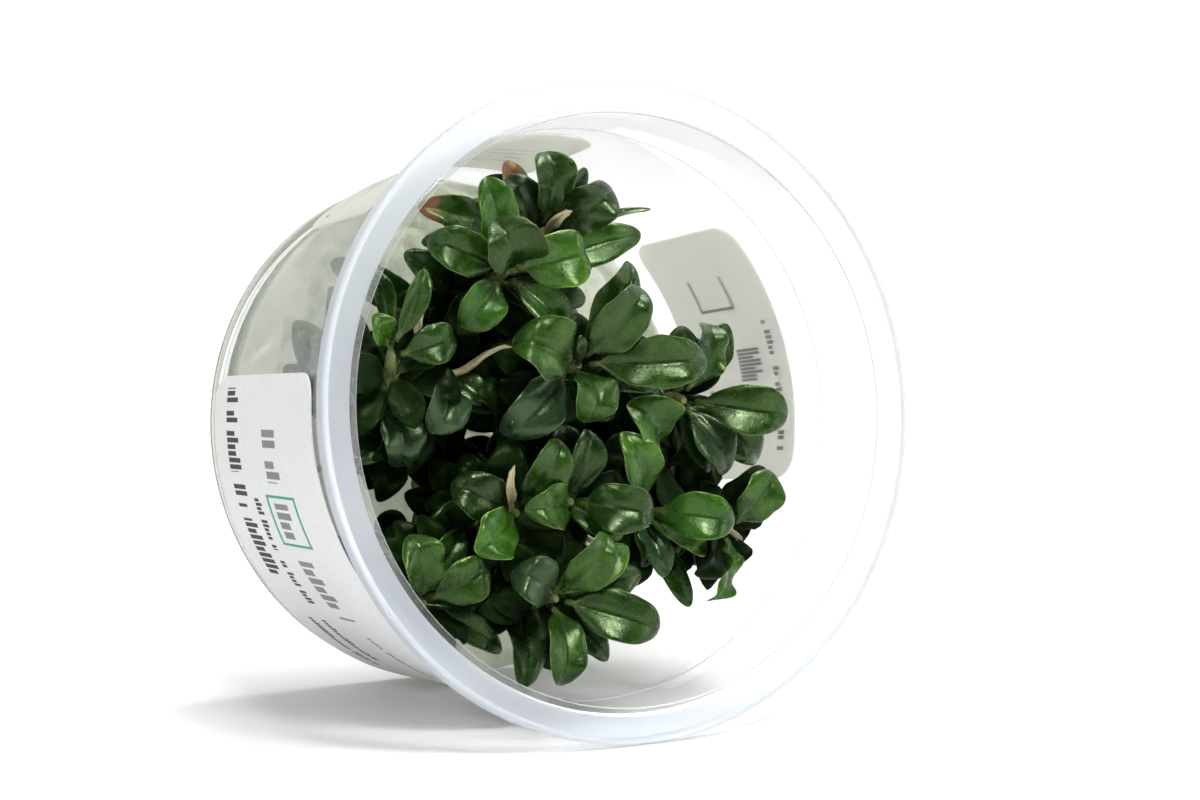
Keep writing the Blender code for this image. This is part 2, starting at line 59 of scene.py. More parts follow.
# The jelly, which has sagged towards the cup's low side, and the stickers. Each sticker is
# (middle, half its width, low edge, high edge, skew): angles in degrees, heights in mm.
FIT_GAP = 0.3
GEL_TOP = 10.6
GEL_LUMP = 0.9
GEL_SAG = 0.045
GEL_LEAN = 0.015
GEL_SWELL_X, GEL_SWELL_SHIFT, GEL_SWELL_Y = 0.11, 1.0, 0.09
GEL_LUMP_X, GEL_LUMP_Y = 0.12, 0.10
GEL_FOOT = 2.6
GEL_EASE = 0.3
STICKER_THICKNESS = 0.3
STICKER_CORNER = 4.0
STICKER_SINK = 0.1
STICKER_COLUMNS = 48
STICKER_ROWS = 16
STICKERS = {
    "sticker_front": (210.0, 43.0, 5.0, 48.5, 3.0),
    "sticker_back": (12.0, 28.5, 13.5, 41.5, 0.0),
    "sticker_top": (102.0, 28.5, 13.0, 41.5, 2.0),
}

# The plant's own measures.
STEM_RADIUS = 1.0
STALK_WIDTH = 1.1
STALK_SHARE = 0.12
LEAF_THICKNESS = 0.5
LEAF_GAP = 0.5
JOINED_REACH = 0.2
ROOT_RADIUS = 0.45
FOOT_LIFT = 0.75
LOWER_LEAF_RISE = 5.0
STEM_SCARS = 13.0
OLD_LEAF_COUNT = 32
OLD_LEAF_SIZE = 1.15
OLD_LEAF_REACH = 39.5
OLD_LEAF_FLOOR = GEL_TOP + 1.5

# How much the looks widen and strengthen the form that each row of LEAVES states.
BLADE_FLARE = 1.06
LEAST_CUPPING, CUPPING_GAIN = 0.08, 1.6
WAVE_GAIN = 1.9
LEAST_CURL, CURL_GAIN = 0.4, 1.9

# How the cup lies: on the edge of its base and on the edge of its flange.
SKIRT = CUP_HEIGHT - SKIRT_DEPTH
TILT = math.atan2((FLANGE_RADIUS - BASE_RADIUS) * ROUND, SKIRT - BASE_CORNER)
RISE = BASE_RADIUS * ROUND * math.cos(TILT) - BASE_CORNER * math.sin(TILT)
FRONT = -CUP_HEIGHT * math.cos(TILT) - (FLANGE_RADIUS - RIM_EDGE) * ROUND * math.sin(TILT)
BACK = (BASE_RADIUS - BASE_CORNER) * ROUND * math.sin(TILT)
LYING = (
    Matrix.Translation((0.0, -(FRONT + BACK) / 2000, RISE / 1000))
    @ Matrix.Rotation(math.pi / 2 - TILT, 4, "X")
    @ Matrix.Scale(0.001, 4)
)

# Shoots: each one's foot on the jelly as (x, y), then its middle and its crown.
SHOOTS = {
    "top": [(-3, 20), (-3, 25, 28), (-2, 28.5, 46)],
    "upper": [(-9, 12), (-11, 18, 30), (-10.5, 22.5, 49.5)],
    "left": [(-22, -2), (-26, 1, 33), (-29.5, 11.5, 46)],
    "inner": [(-15, 4), (-17, 6, 28), (-18.5, 7, 42)],
    "middle": [(-2, 4), (-1, 6, 32), (0, 7.5, 51)],
    "right": [(14, 4), (19, 3, 30), (20.5, 1, 47)],
    "core": [(9, -5), (14, -6, 28), (17, -6.5, 44)],
    "heart": [(-9, -9), (-10.5, -13, 30), (-10.5, -14.5, 47)],
    "low": [(1, -9), (0, -12, 30), (-1.5, -13.5, 48)],
    "low_right": [(14, -15), (14.5, -15.5, 29), (13, -15.5, 45)],
    "far_right": [(22, -10), (27, -16, 30), (27.5, -20, 46)],
    "low_left": [(-20, -18), (-25, -24, 30), (-27, -27, 46)],
    "bottom": [(-5, -21), (-6.5, -25, 30), (-6.5, -28, 50)],
}

# Leaves that are pieces of their own: name, shoot, drop below its crown, tip, width and
# arch, then finish, cupping, wave, tip curl, twist and roll.
LEAVES = [
    ("leaf_top_tall", "top", 0.0, (-2, 41.5, 50), 6.8, 2.5, "mid", 0.22, 0.10, 0.9, 5, 0),
    ("leaf_top_round", "top", 1.5, (-8.5, 37.5, 48.5), 6.4, 2.0, "blue", 0.05, 0.10, 0.8, 10, 0),
    ("leaf_top_left", "top", 3.5, (-22, 33.5, 44.5), 5.2, 1.5, "scorched", 0.15, 0.08, 0.3, 10, -10),
    ("leaf_top_right", "top", 0.5, (8, 34, 54), 7.6, 2.5, "dark", 0.12, 0.22, 1.2, -15, 8),
    ("leaf_top_far", "upper", 3.5, (13, 27.7, 51.7), 6.2, 1.5, "mid", 0.10, 0.06, 0.6, 0, 10),
    ("leaf_upper_point", "upper", 2.0, (-14, 37, 52), 6.4, 2.0, "vivid", 0.16, 0.08, 0.2, 5, 0),
    ("leaf_upper_left", "upper", 0.5, (-24, 28, 50), 7.0, 2.5, "mid", 0.10, 0.08, 0.6, -8, 10),
    ("leaf_upper_curled", "upper", 0.0, (-15, 30.5, 56), 8.6, 3.5, "mid", 0.25, 0.16, 1.2, 15, 5),
    ("leaf_upper_right", "upper", 0.0, (2.5, 25, 55), 8.4, 2.5, "bright", 0.12, 0.10, 1.4, 10, 0),
    ("leaf_upper_low", "upper", 1.5, (-19, 14, 50), 6.8, 2.0, "vivid", 0.16, 0.08, 0.5, 0, 0),
    ("leaf_upper_down", "upper", 1.0, (-2, 12.5, 53), 5.6, 2.0, "mid", 0.24, 0.06, 0.4, 0, 0),
    ("leaf_left_point", "left", 0.0, (-24.5, 23.5, 50), 3.6, 1.5, "mid", 0.30, 0.05, 0.1, 10, 0),
    ("leaf_left_bright", "left", 0.0, (-33, 16.5, 50.5), 4.4, 0.5, "bright", 0.15, 0.10, 0.6, 0, 0),
    ("leaf_left_broad", "left", 1.5, (-18.5, 13.5, 48), 5.8, 2.0, "dark", 0.10, 0.10, 0.6, 0, 0),
    ("leaf_left_blue", "left", 10.0, (-28, -7, 44), 7.0, 2.5, "blue", 0.05, 0.08, 0.9, 0, 0),
    ("leaf_inner_broad", "inner", 0.0, (-24, -1.5, 48), 7.2, 2.5, "blue", 0.15, 0.10, 0.6, 0, 0),
    ("leaf_middle_left", "middle", 0.0, (-12.5, 12.5, 54), 9.0, 2.5, "bright", 0.16, 0.14, 1.3, -8, 0),
    ("leaf_middle_back", "middle", 2.0, (9.5, 23, 54.5), 6.8, 2.0, "mid", 0.12, 0.20, 0.8, 0, 0),
    ("leaf_middle_up", "middle", 0.0, (9, 19, 58.5), 7.4, 2.0, "mid", 0.14, 0.12, 1.6, 10, 0),
    ("leaf_middle_right", "middle", 0.5, (18.5, 7, 60), 7.8, 2.5, "mid", 0.14, 0.10, 0.8, 0, 5),
    ("leaf_middle_silver", "middle", 0.5, (-1.5, -2, 57), 7.6, 3.0, "mid", 0.10, 0.10, 1.5, 0, 0),
    ("leaf_middle_blue", "middle", 3.0, (-13.5, -3, 49.5), 7.6, 3.0, "blue", 0.05, 0.08, 1.0, 0, 0),
    ("leaf_right_up", "right", 0.5, (25, 13.5, 51), 6.2, 2.0, "dark", 0.14, 0.22, 1.4, 0, 0),
    ("leaf_right_long", "right", 0.0, (35.5, -2.5, 54.5), 7.6, 2.0, "mid", 0.14, 0.06, 0.5, 0, 0),
    ("leaf_right_grey", "right", 1.5, (26.5, -11, 50), 6.6, 1.5, "blue", 0.08, 0.06, 0.6, 10, 0),
    ("leaf_right_tan", "right", 4.0, (33.5, -9.5, 48.5), 7.2, 2.0, "dark", 0.10, 0.10, 0.8, 0, 0),
    ("leaf_core_cupped", "core", 0.0, (8.5, 1, 52), 8.0, 2.5, "bright", 0.34, 0.12, 0.9, 0, 0),
    ("leaf_core_bright", "low_right", 0.5, (7, -3.5, 52.5), 6.2, 2.0, "bright", 0.20, 0.12, 1.0, 0, 0),
    ("leaf_heart_up", "heart", 0.0, (-4.5, -3.5, 52.5), 6.8, 2.0, "mid", 0.12, 0.08, 0.6, 0, 0),
    ("leaf_heart_round", "heart", 1.5, (-22, -9, 48), 7.2, 2.5, "dark", 0.10, 0.08, 0.6, 0, 0),
    ("leaf_heart_bright", "heart", 0.0, (-20.5, -19.5, 53), 7.4, 1.5, "bright", 0.12, 0.12, 0.6, 0, 0),
    ("leaf_low_left", "low", 0.0, (-12, -14, 54), 6.6, 2.0, "bright", 0.16, 0.10, 0.7, 0, 0),
    ("leaf_low_broad", "low", 0.5, (9.5, -16.5, 56), 7.4, 2.5, "dark", 0.12, 0.10, 1.0, 0, 0),
    ("leaf_low_right", "low_right", 0.0, (25.5, -18.5, 53), 7.2, 2.5, "vivid", 0.10, 0.06, 0.7, 0, 0),
    ("leaf_far_bright", "far_right", 0.0, (34, -11, 51), 6.8, 2.0, "bright", 0.10, 0.08, 0.5, 0, 0),
    ("leaf_far_twisted", "far_right", 0.5, (22, -31.5, 50), 4.6, 2.0, "vivid", 0.20, 0.30, 0.8, 60, 0),
    ("leaf_corner_upright", "low_left", 0.0, (-30, -16, 50.5), 6.8, 2.0, "bright", 0.16, 0.10, 0.9, 0, 0),
    ("leaf_corner_right", "low_left", 0.5, (-17.5, -21.5, 51), 6.8, 2.0, "mid", 0.12, 0.08, 0.6, 0, 0),
    ("leaf_bottom_left", "bottom", 0.0, (-15.5, -23, 54), 7.6, 2.5, "blue", 0.08, 0.06, 1.2, 0, 0),
    ("leaf_bottom_up", "bottom", 0.0, (0.5, -18.5, 57), 6.6, 2.0, "bright", 0.20, 0.10, 1.3, 0, 0),
    ("leaf_bottom_right", "bottom", 0.5, (8, -34, 57), 7.8, 2.0, "dark", 0.10, 0.06, 0.6, 0, 0),
    ("leaf_bottom_hanging", "bottom", 1.0, (-8.5, -41.5, 54.5), 6.4, 2.5, "mid", 0.16, 0.08, 0.8, 0, 0),
]

# Smaller leaves that are one with their shoot: shoot, drop, tip, width, arch, roll, finish.
SMALL_LEAVES = [
    ("top", 5.0, (-6.5, 40, 45), 5.4, 1.5, 0, "scorched"),
    ("top", 6.0, (6, 38, 48), 4.6, 2.0, 0, "blue"),
    ("top", 7.0, (16, 32, 49), 2.0, 1.0, 40, "dark"),
    ("upper", 6.0, (4.5, 17.5, 47.5), 5.0, 1.5, 0, "blue"),
    ("left", 3.0, (-30.5, 25, 45.5), 4.2, 1.0, 0, "dark"),
    ("left", 16.0, (-33, 6.5, 43), 4.4, 1.5, 0, "bright"),
    ("left", 12.5, (-24.5, 5, 45), 4.2, 1.0, 0, "vivid"),
    ("left", 18.0, (-33, -5, 40.5), 5.0, 1.5, 0, "blue"),
    ("inner", 2.0, (-13.8, 2.7, 46), 5.2, 1.8, 0, "dark"),
    ("inner", 1.0, (-10, 11.5, 47.5), 1.8, 2.0, 60, "dry"),
    ("middle", 6.0, (-7, -2, 47.5), 4.2, 1.5, 0, "dark"),
    ("middle", 6.0, (15, 3.5, 51.5), 4.6, 1.5, 0, "dark"),
    ("right", 5.0, (29.5, 12.5, 48), 6.2, 1.5, 0, "dark"),
    ("core", 3.0, (15, 3.5, 49), 3.4, 1.5, 0, "mid"),
    ("heart", 2.5, (-14.5, -8.5, 53), 1.6, 0.5, 0, "dry"),
    ("heart", 6.0, (-17, -17.5, 43.5), 4.2, 1.5, 0, "dark"),
    ("low", 5.0, (5.5, -19.5, 51), 5.8, 2.0, 0, "vivid"),
    ("low", 3.0, (2.5, -2.5, 50), 6.4, 1.5, 0, "dark"),
    ("low_right", 3.0, (23, -23.5, 47.5), 4.4, 2.0, 0, "bright"),
    ("low_right", 8.0, (20, -31.5, 45), 4.4, 1.5, 0, "dark"),
    ("low_right", 6.0, (15.5, -26.5, 46), 4.8, 2.0, 0, "blue"),
    ("low_left", 5.0, (-18.5, -16, 44.5), 5.2, 1.5, 0, "dark"),
    ("low_left", 5.0, (-13.5, -35.5, 45.5), 4.8, 1.5, 0, "dark"),
    ("bottom", 3.0, (5, -21, 54), 5.8, 2.0, 0, "bright"),
    ("bottom", 6.0, (9.5, -25.5, 49.5), 6.2, 2.0, 0, "dark"),
    ("bottom", 13.0, (-13, -40.5, 51), 7.4, 2.0, 0, "dark"),
    ("bottom", 5.0, (1.5, -38, 51.5), 5.8, 1.5, 0, "dark"),
    ("top", 0.5, (-1.2, 31.0, 52.5), 1.8, 0.3, 0, "dry"),
    ("top", 9.0, (9.0, 25.5, 46), 3.6, 1.5, 0, "bright"),
    ("top", 9.0, (-19.5, 28.5, 40), 5.0, 1.5, 0, "dark"),
    ("left", 5.0, (-26.5, 14.5, 43.5), 3.0, 0.6, 0, "bright"),
    ("left", 8.0, (-21, 19.5, 40), 4.2, 1.5, 0, "dry"),
    ("middle", 0.5, (-1.2, 11.5, 55), 2.2, 0.3, 0, "blue"),
    ("low_left", 8.0, (-22, -35.7, 44), 5.0, 1.5, 0, "blue"),
    ("low_right", 5.0, (18, -20, 44), 3.0, 1.0, 0, "blue"),
    ("far_right", 6.0, (31.5, -23, 44), 1.6, 1.5, 0, "dry"),
]

# Lower leaves, hidden under the others: shoot, drop, heading, length and width.
LOWER_LEAVES = [
    ("top", 13.0, 40, 13.0, 5.5),
    ("top", 16.0, 165, 13.0, 5.5),
    ("top", 20.0, 100, 11.0, 5.0),
    ("upper", 14.0, 150, 14.0, 5.5),
    ("upper", 19.0, 225, 12.0, 5.0),
    ("upper", 12.0, 340, 11.0, 5.0),
    ("left", 22.0, 130, 11.0, 5.0),
    ("left", 24.0, 200, 10.0, 5.0),
    ("left", 27.0, 123, 19.0, 6.5),
    ("left", 25.0, 108, 22.0, 6.5),
    ("left", 30.0, 141, 19.0, 6.5),
    ("left", 32.0, 121, 22.5, 7.5),
    ("left", 31.0, 103, 25.0, 7.0),
    ("upper", 26.0, 153, 22.0, 6.5),
    ("inner", 12.0, 160, 11.0, 5.0),
    ("middle", 14.0, 60, 12.0, 5.5),
    ("middle", 18.0, 330, 11.0, 5.0),
    ("right", 12.0, 45, 12.0, 5.5),
    ("right", 16.0, 330, 11.0, 5.0),
    ("heart", 13.0, 190, 12.0, 5.5),
    ("heart", 18.0, 100, 10.0, 5.0),
    ("low", 14.0, 280, 10.0, 5.0),
    ("far_right", 12.0, 20, 9.0, 5.0),
    ("far_right", 16.0, 280, 10.0, 5.0),
    ("low_left", 12.0, 120, 9.0, 5.0),
    ("low_left", 16.0, 30, 10.0, 5.0),
    ("low_left", 19.0, 300, 11.0, 5.0),
    ("bottom", 16.0, 320, 12.0, 5.5),
    ("bottom", 20.0, 225, 10.0, 5.0),
]

# Roots that run over the jelly from the foot of a shoot: shoot, heading, length.
ROOTS = [
    ("top", 150, 13.0),
    ("top", 60, 9.0),
    ("upper", 175, 15.0),
    ("left", 200, 11.0),
    ("inner", 20, 7.0),
    ("right", 20, 13.0),
    ("heart", 235, 12.0),
    ("low_right", 300, 12.0),
    ("low_left", 200, 10.0),
    ("bottom", 265, 10.0),
]

# The camera, in millimetres: its sensor's width and its lens, the degrees by which it looks
# from the left and from above, and its place as (aside, above, away) from the cup's mouth.
SENSOR_WIDTH = 36.0
LENS = 114.0
FROM_LEFT = 29.19
FROM_ABOVE = 6.915
CAMERA_PLACE = (-4.1, 1.4, 571.9)

# The room is dim on this side, in front of the cup's mouth, as behind a photographer.
DIM_SIDE = (-0.30, -0.93, 0.20)

# The print on the stickers: its inks, then each sticker's clearness, paper and marks. A
# mark is (left, right, low, high, ink, blocks): shares of the sticker's width and height,
# and how many blocks the whole width would hold, or 0 for a plain bar.
INK = (0.04, 0.04, 0.045)
GREY = (0.22, 0.23, 0.24)
GREEN = (0.05, 0.36, 0.22)
PRINTS = {
    "sticker_front": (0.12, (0.78, 0.78, 0.78), [
        (0.03, 0.24, 0.13, 0.25, INK, 60), (0.27, 0.33, 0.13, 0.25, INK, 60),
        (0.36, 0.52, 0.13, 0.25, INK, 60), (0.30, 0.44, 0.31, 0.37, INK, 90),
        (0.47, 0.60, 0.31, 0.37, INK, 90), (0.13, 0.26, 0.50, 0.63, GREY, 40),
        (0.29, 0.42, 0.44, 0.46, GREEN, 0), (0.29, 0.42, 0.70, 0.72, GREEN, 0),
        (0.29, 0.297, 0.44, 0.72, GREEN, 0), (0.413, 0.42, 0.44, 0.72, GREEN, 0),
        (0.31, 0.40, 0.50, 0.63, GREY, 40), (0.46, 0.64, 0.50, 0.63, GREY, 40),
        (0.66, 0.90, 0.15, 0.20, INK, 100), (0.66, 0.84, 0.27, 0.32, INK, 100),
        (0.70, 0.90, 0.56, 0.60, GREY, 100),
    ]),
    "sticker_back": (0.75, (0.80, 0.80, 0.75), [
        (0.10, 0.42, 0.84, 0.90, GREY, 50), (0.46, 0.62, 0.84, 0.90, GREY, 50),
        (0.66, 0.80, 0.30, 0.32, GREY, 0), (0.66, 0.80, 0.62, 0.64, GREY, 0),
        (0.66, 0.672, 0.30, 0.64, GREY, 0), (0.14, 0.50, 0.52, 0.74, GREY, 70),
        (0.10, 0.56, 0.18, 0.22, GREY, 60),
    ]),
    "sticker_top": (0.75, (0.78, 0.78, 0.72), [
        (0.12, 0.88, 0.24, 0.27, GREY, 60), (0.12, 0.80, 0.34, 0.37, GREY, 60),
        (0.12, 0.86, 0.44, 0.47, GREY, 60), (0.12, 0.70, 0.54, 0.57, GREY, 60),
        (0.93, 0.945, 0.16, 0.20, INK, 0),
    ]),
}


# Short calls for node trees.


class Tree:
    """A node tree, with short calls for the nodes that this scene uses."""

    def __init__(self, tree):
        self.tree = tree

    def node(self, kind, links=None, **settings):
        """Add a node, set it up and feed its inputs."""
        made = self.tree.nodes.new(kind)
        for key, value in settings.items():
            setattr(made, key, value)
        self.fill(made, links or {})
        return made

    def result(self, kind, links=None, **settings):
        """Add a node and return its first output."""
        return self.node(kind, links, **settings).outputs[0]

    def feed(self, socket, value):
        """Link a socket to another one, or give it a plain value."""
        if isinstance(value, bpy.types.NodeSocket):
            self.tree.links.new(value, socket)
        else:
            socket.default_value = value

    def fill(self, node, values):
        """Feed a node's inputs by their names or numbers."""
        for key, value in values.items():
            self.feed(node.inputs[key], value)

    def math(self, operation, *values):
        """Return a sum, product or other function of numbers."""
        node = self.node("ShaderNodeMath", operation=operation)
        for socket, value in zip(node.inputs, values):
            self.feed(socket, value)
        return node.outputs[0]

    def add(self, a, b):
        return self.math("ADD", a, b)

    def less(self, a, b):
        return self.math("SUBTRACT", a, b)

    def times(self, first, *others):
        """Return the product of numbers."""
        for other in others:
            first = self.math("MULTIPLY", first, other)
        return first

    def power(self, a, b):
        return self.math("POWER", a, b)

    def vector(self, operation, *values):
        """Return a sum, cross product or other function of vectors."""
        node = self.node("ShaderNodeVectorMath", operation=operation)
        for socket, value in zip(node.inputs, values):
            self.feed(socket, value)
        return node.outputs[1 if operation in ("LENGTH", "DOT_PRODUCT") else 0]

    def scaled(self, vector, number):
        """Return a vector times a number."""
        node = self.node("ShaderNodeVectorMath", {"Scale": number}, operation="SCALE")
        self.feed(node.inputs[0], vector)
        return node.outputs[0]

    def total(self, first, *others):
        """Return the sum of vectors."""
        for other in others:
            first = self.vector("ADD", first, other)
        return first

    def xyz(self, x, y, z):
        return self.result("ShaderNodeCombineXYZ", {0: x, 1: y, 2: z})

    def parts(self, vector):
        """Return the x, y and z of a vector."""
        return self.node("ShaderNodeSeparateXYZ", {0: vector}).outputs

    def on_object(self):
        """Return the object coordinates, which a finish's patterns follow."""
        return self.node("ShaderNodeTexCoord").outputs["Object"]

    def band(self, value, low, high, start=0.0, end=1.0, smooth=True):
        """Return start below low, end above high, and a blend of them between."""
        return self.result(
            "ShaderNodeMapRange",
            {"Value": value, "From Min": low, "From Max": high, "To Min": start, "To Max": end},
            interpolation_type="SMOOTHSTEP" if smooth else "LINEAR",
        )

    def mix(self, share, first, second, blend="MIX"):
        """Return a colour between two colours."""
        node = self.node("ShaderNodeMix", data_type="RGBA", blend_type=blend)
        self.feed(node.inputs["Factor"], share)
        for socket, value in zip((s for s in node.inputs if s.type == "RGBA"), (first, second)):
            self.feed(socket, (*value, 1.0) if isinstance(value, tuple) else value)
        return next(s for s in node.outputs if s.type == "RGBA")

    def noise(self, where, scale, detail=2.0, roughness=0.5, distortion=0.0):
        """Return an even noise between about 0.2 and 0.8."""
        links = {
            "Vector": where,
            "Scale": scale,
            "Detail": detail,
            "Roughness": roughness,
            "Distortion": distortion,
        }
        return self.result("ShaderNodeTexNoise", links)


class GrowTree(Tree):
    """A Geometry Nodes tree with named inputs."""

    def __init__(self, name, inputs):
        super().__init__(bpy.data.node_groups.new(name, "GeometryNodeTree"))
        sockets = self.tree.interface
        for label, kind in inputs:
            sockets.new_socket(name=label, in_out="INPUT", socket_type="NodeSocket" + kind)
        sockets.new_socket(name="Geometry", in_out="OUTPUT", socket_type="NodeSocketGeometry")
        self.given = self.tree.nodes.new("NodeGroupInput").outputs

    def position(self):
        """Return where each point of the mesh or curve is."""
        return self.result("GeometryNodeInputPosition")

    def keep(self, geometry, label, value):
        """Store a number on each point of the mesh or curve, for its material."""
        return self.result(
            "GeometryNodeStoreNamedAttribute",
            {"Geometry": geometry, "Name": label, "Value": value},
            data_type="FLOAT",
            domain="POINT",
        )

    def finish(self, geometry):
        """Smooth the mesh, turn it into real geometry and give it its material."""
        smooth = self.result("GeometryNodeSetShadeSmooth", {"Geometry": geometry})
        real = self.result("GeometryNodeRealizeInstances", {"Geometry": smooth})
        links = {"Geometry": real, "Material": self.given["Material"]}
        dressed = self.result("GeometryNodeSetMaterial", links)
        end = self.tree.nodes.new("NodeGroupOutput")
        self.tree.links.new(dressed, end.inputs[0])
        return self.tree


def grown(name, group, values):
    """Return a plain mesh object that a Geometry Nodes tree makes from named values."""
    made = bpy.data.objects.new(name, bpy.data.meshes.new(name))
    bpy.context.collection.objects.link(made)
    modifier = made.modifiers.new("grow", "NODES")
    modifier.node_group = group
    for item in group.interface.items_tree:
        if item.in_out == "INPUT":
            modifier[item.identifier] = values[item.name]
    seen = made.evaluated_get(bpy.context.evaluated_depsgraph_get())
    mesh = bpy.data.meshes.new_from_object(seen)
    made.modifiers.remove(modifier)
    made.data = mesh
    mesh.name = name
    return made


def joined(pieces):
    """Return one object that holds the meshes of several."""
    if len(pieces) > 1:
        with bpy.context.temp_override(
            active_object=pieces[0], object=pieces[0], selected_editable_objects=pieces
        ):
            bpy.ops.object.join()
    return pieces[0]


def laid_down(piece, slot, *nodes):
    """Lay a finished piece down in the cup's place, and hand it to the frame."""
    piece.data.transform(LYING)
    piece.data.update()
    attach(piece, "root")
    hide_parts(*nodes)
    return piece


# How the plant grows.


def leaf_tree():
    """Build the tree that grows one leaf along its midrib.

    A grid is rolled into a closed skin: its first direction runs from the stalk to the
    tip, its second one round the section. The section is grooved along the midrib, its
    halves are cupped and waved, and its tip curls under.
    """
    tree = GrowTree("leaf blade", [
        ("Base", "Vector"), ("Bend", "Vector"), ("Tip", "Vector"), ("Upper", "Vector"),
        ("Steps Along", "Int"), ("Steps Round", "Int"),
        ("Width", "Float"), ("Thickness", "Float"), ("Stalk Width", "Float"),
        ("Stalk Share", "Float"), ("Fullness", "Float"), ("Cupping", "Float"),
        ("Groove", "Float"), ("Wave", "Float"), ("Wave Count", "Float"),
        ("Tip Curl", "Float"), ("Twist", "Float"), ("Roll", "Float"),
        ("Sickle", "Float"), ("Crumple", "Float"), ("Seed", "Float"),
        ("Material", "Material"),
    ])
    given = tree.given
    grid = tree.result("GeometryNodeMeshGrid", {
        "Size X": 1.0, "Size Y": 1.0,
        "Vertices X": given["Steps Along"], "Vertices Y": given["Steps Round"],
    })
    place = tree.parts(tree.position())
    step = tree.times(tree.add(place[0], 0.5), math.pi / 2)
    share = tree.math("SINE", step)
    ring = tree.times(tree.add(place[1], 0.5), 2 * math.pi)
    across, face = tree.math("COSINE", ring), tree.math("SINE", ring)

    # Along the blade: how wide and how thick the leaf is.
    past_stalk = tree.math("DIVIDE", tree.less(share, given["Stalk Share"]),
                           tree.less(1.0, given["Stalk Share"]))
    along = tree.math("MINIMUM", tree.math("MAXIMUM", past_stalk, 0.0), 1.0)
    swing = tree.math("MAXIMUM", tree.math("SINE", tree.times(
        tree.power(along, given["Fullness"]), math.pi)), 0.0)
    own = tree.times(given["Seed"], 37.0)
    flank = tree.add(tree.times(tree.math("SIGN", across), 3.0), own)
    uneven = tree.noise(tree.xyz(tree.times(along, 3.2), flank, 0.0), 1.0, 1.0)
    uneven = tree.band(uneven, 0.25, 0.75, 0.94, 1.06)
    blade = tree.times(tree.power(swing, 0.52), given["Width"], 0.5, uneven)
    ends = tree.times(tree.band(share, 0.0, 0.03, smooth=False),
                      tree.band(along, 0.93, 1.0, 1.0, 0.0, smooth=False))
    stalk = tree.times(given["Stalk Width"], 0.5, ends)
    half = tree.math("MAXIMUM", blade, stalk)
    rest = tree.less(1.0, along)
    thick = tree.times(given["Thickness"], tree.less(1.0, tree.times(along, 0.5)))
    swell = tree.times(given["Stalk Width"], 0.55, tree.power(rest, 6.0))
    round_tip = tree.math("MAXIMUM", tree.less(1.0, tree.power(along, 24.0)), 0.0)
    round_tip = tree.math("SQRT", round_tip)
    thick = tree.times(tree.add(thick, swell), tree.band(share, 0.0, 0.03, smooth=False),
                       round_tip)

    # The midrib and the directions there.
    left = tree.less(1.0, share)
    midrib = tree.total(
        tree.scaled(given["Base"], tree.times(left, left)),
        tree.scaled(given["Bend"], tree.times(2.0, left, share)),
        tree.scaled(given["Tip"], tree.times(share, share)),
    )
    run = tree.vector("NORMALIZE", tree.total(
        tree.scaled(tree.vector("SUBTRACT", given["Bend"], given["Base"]), left),
        tree.scaled(tree.vector("SUBTRACT", given["Tip"], given["Bend"]), share),
    ))
    lean = tree.scaled(run, tree.vector("DOT_PRODUCT", given["Upper"], run))
    upper = tree.vector("NORMALIZE", tree.vector("SUBTRACT", given["Upper"], lean))
    side = tree.vector("CROSS_PRODUCT", upper, run)
    turn = tree.math("RADIANS", tree.add(given["Roll"], tree.times(given["Twist"], along)))
    cosine, sine = tree.math("COSINE", turn), tree.math("SINE", turn)
    up = tree.total(tree.scaled(upper, cosine), tree.scaled(side, sine))
    out = tree.vector("CROSS_PRODUCT", up, run)

    # The section: cupped halves, a groove, waves towards the margin, and a curled tip.
    reach = tree.math("ABSOLUTE", across)
    cupped = tree.times(given["Cupping"], half, tree.power(reach, 1.3))
    recurved = tree.times(half, tree.band(along, 0.55, 1.0, 0.10, 0.24), tree.power(reach, 6.0))
    groove = tree.times(given["Groove"], tree.band(tree.times(reach, half), 0.0, 0.75, 1.0, 0.0),
                        tree.band(along, 0.0, 0.15), tree.band(along, 0.75, 1.0, 1.0, 0.0))
    beat = tree.times(tree.add(tree.times(along, given["Wave Count"]), given["Seed"]), 2 * math.pi)
    sway = tree.math("SINE", tree.add(beat, tree.times(across, 1.3)))
    wave = tree.times(given["Wave"], half, tree.power(reach, 2.2), sway,
                      tree.band(along, 0.0, 0.3))
    curl = tree.power(tree.band(along, 0.74, 1.0, smooth=False), 1.7)
    curl = tree.times(given["Tip Curl"], curl)
    skin = tree.times(thick, 0.5, face)
    lift = tree.add(tree.less(tree.less(tree.add(cupped, wave), recurved), groove),
                    tree.less(skin, curl))
    sickle = tree.times(given["Sickle"], tree.math("SINE", tree.times(along, math.pi)))
    point = tree.total(
        midrib,
        tree.scaled(out, tree.add(tree.times(across, half), sickle)),
        tree.scaled(up, lift),
    )
    where = tree.total(point, tree.xyz(own, 0.0, 0.0))
    dent = tree.times(tree.less(tree.noise(where, 0.20, 1.0), 0.5), given["Crumple"],
                      tree.band(along, 0.0, 0.2))
    point = tree.total(point, tree.scaled(up, dent))

    kept = {"along": along, "across": across, "face": face, "seed": given["Seed"]}
    for label, value in kept.items():
        grid = tree.keep(grid, label, value)
    moved = tree.result("GeometryNodeSetPosition", {"Geometry": grid, "Position": point})
    closed = tree.result("GeometryNodeMergeByDistance", {"Geometry": moved, "Distance": 0.002})
    outward = tree.result("GeometryNodeFlipFaces", {"Mesh": closed})
    return tree.finish(outward)


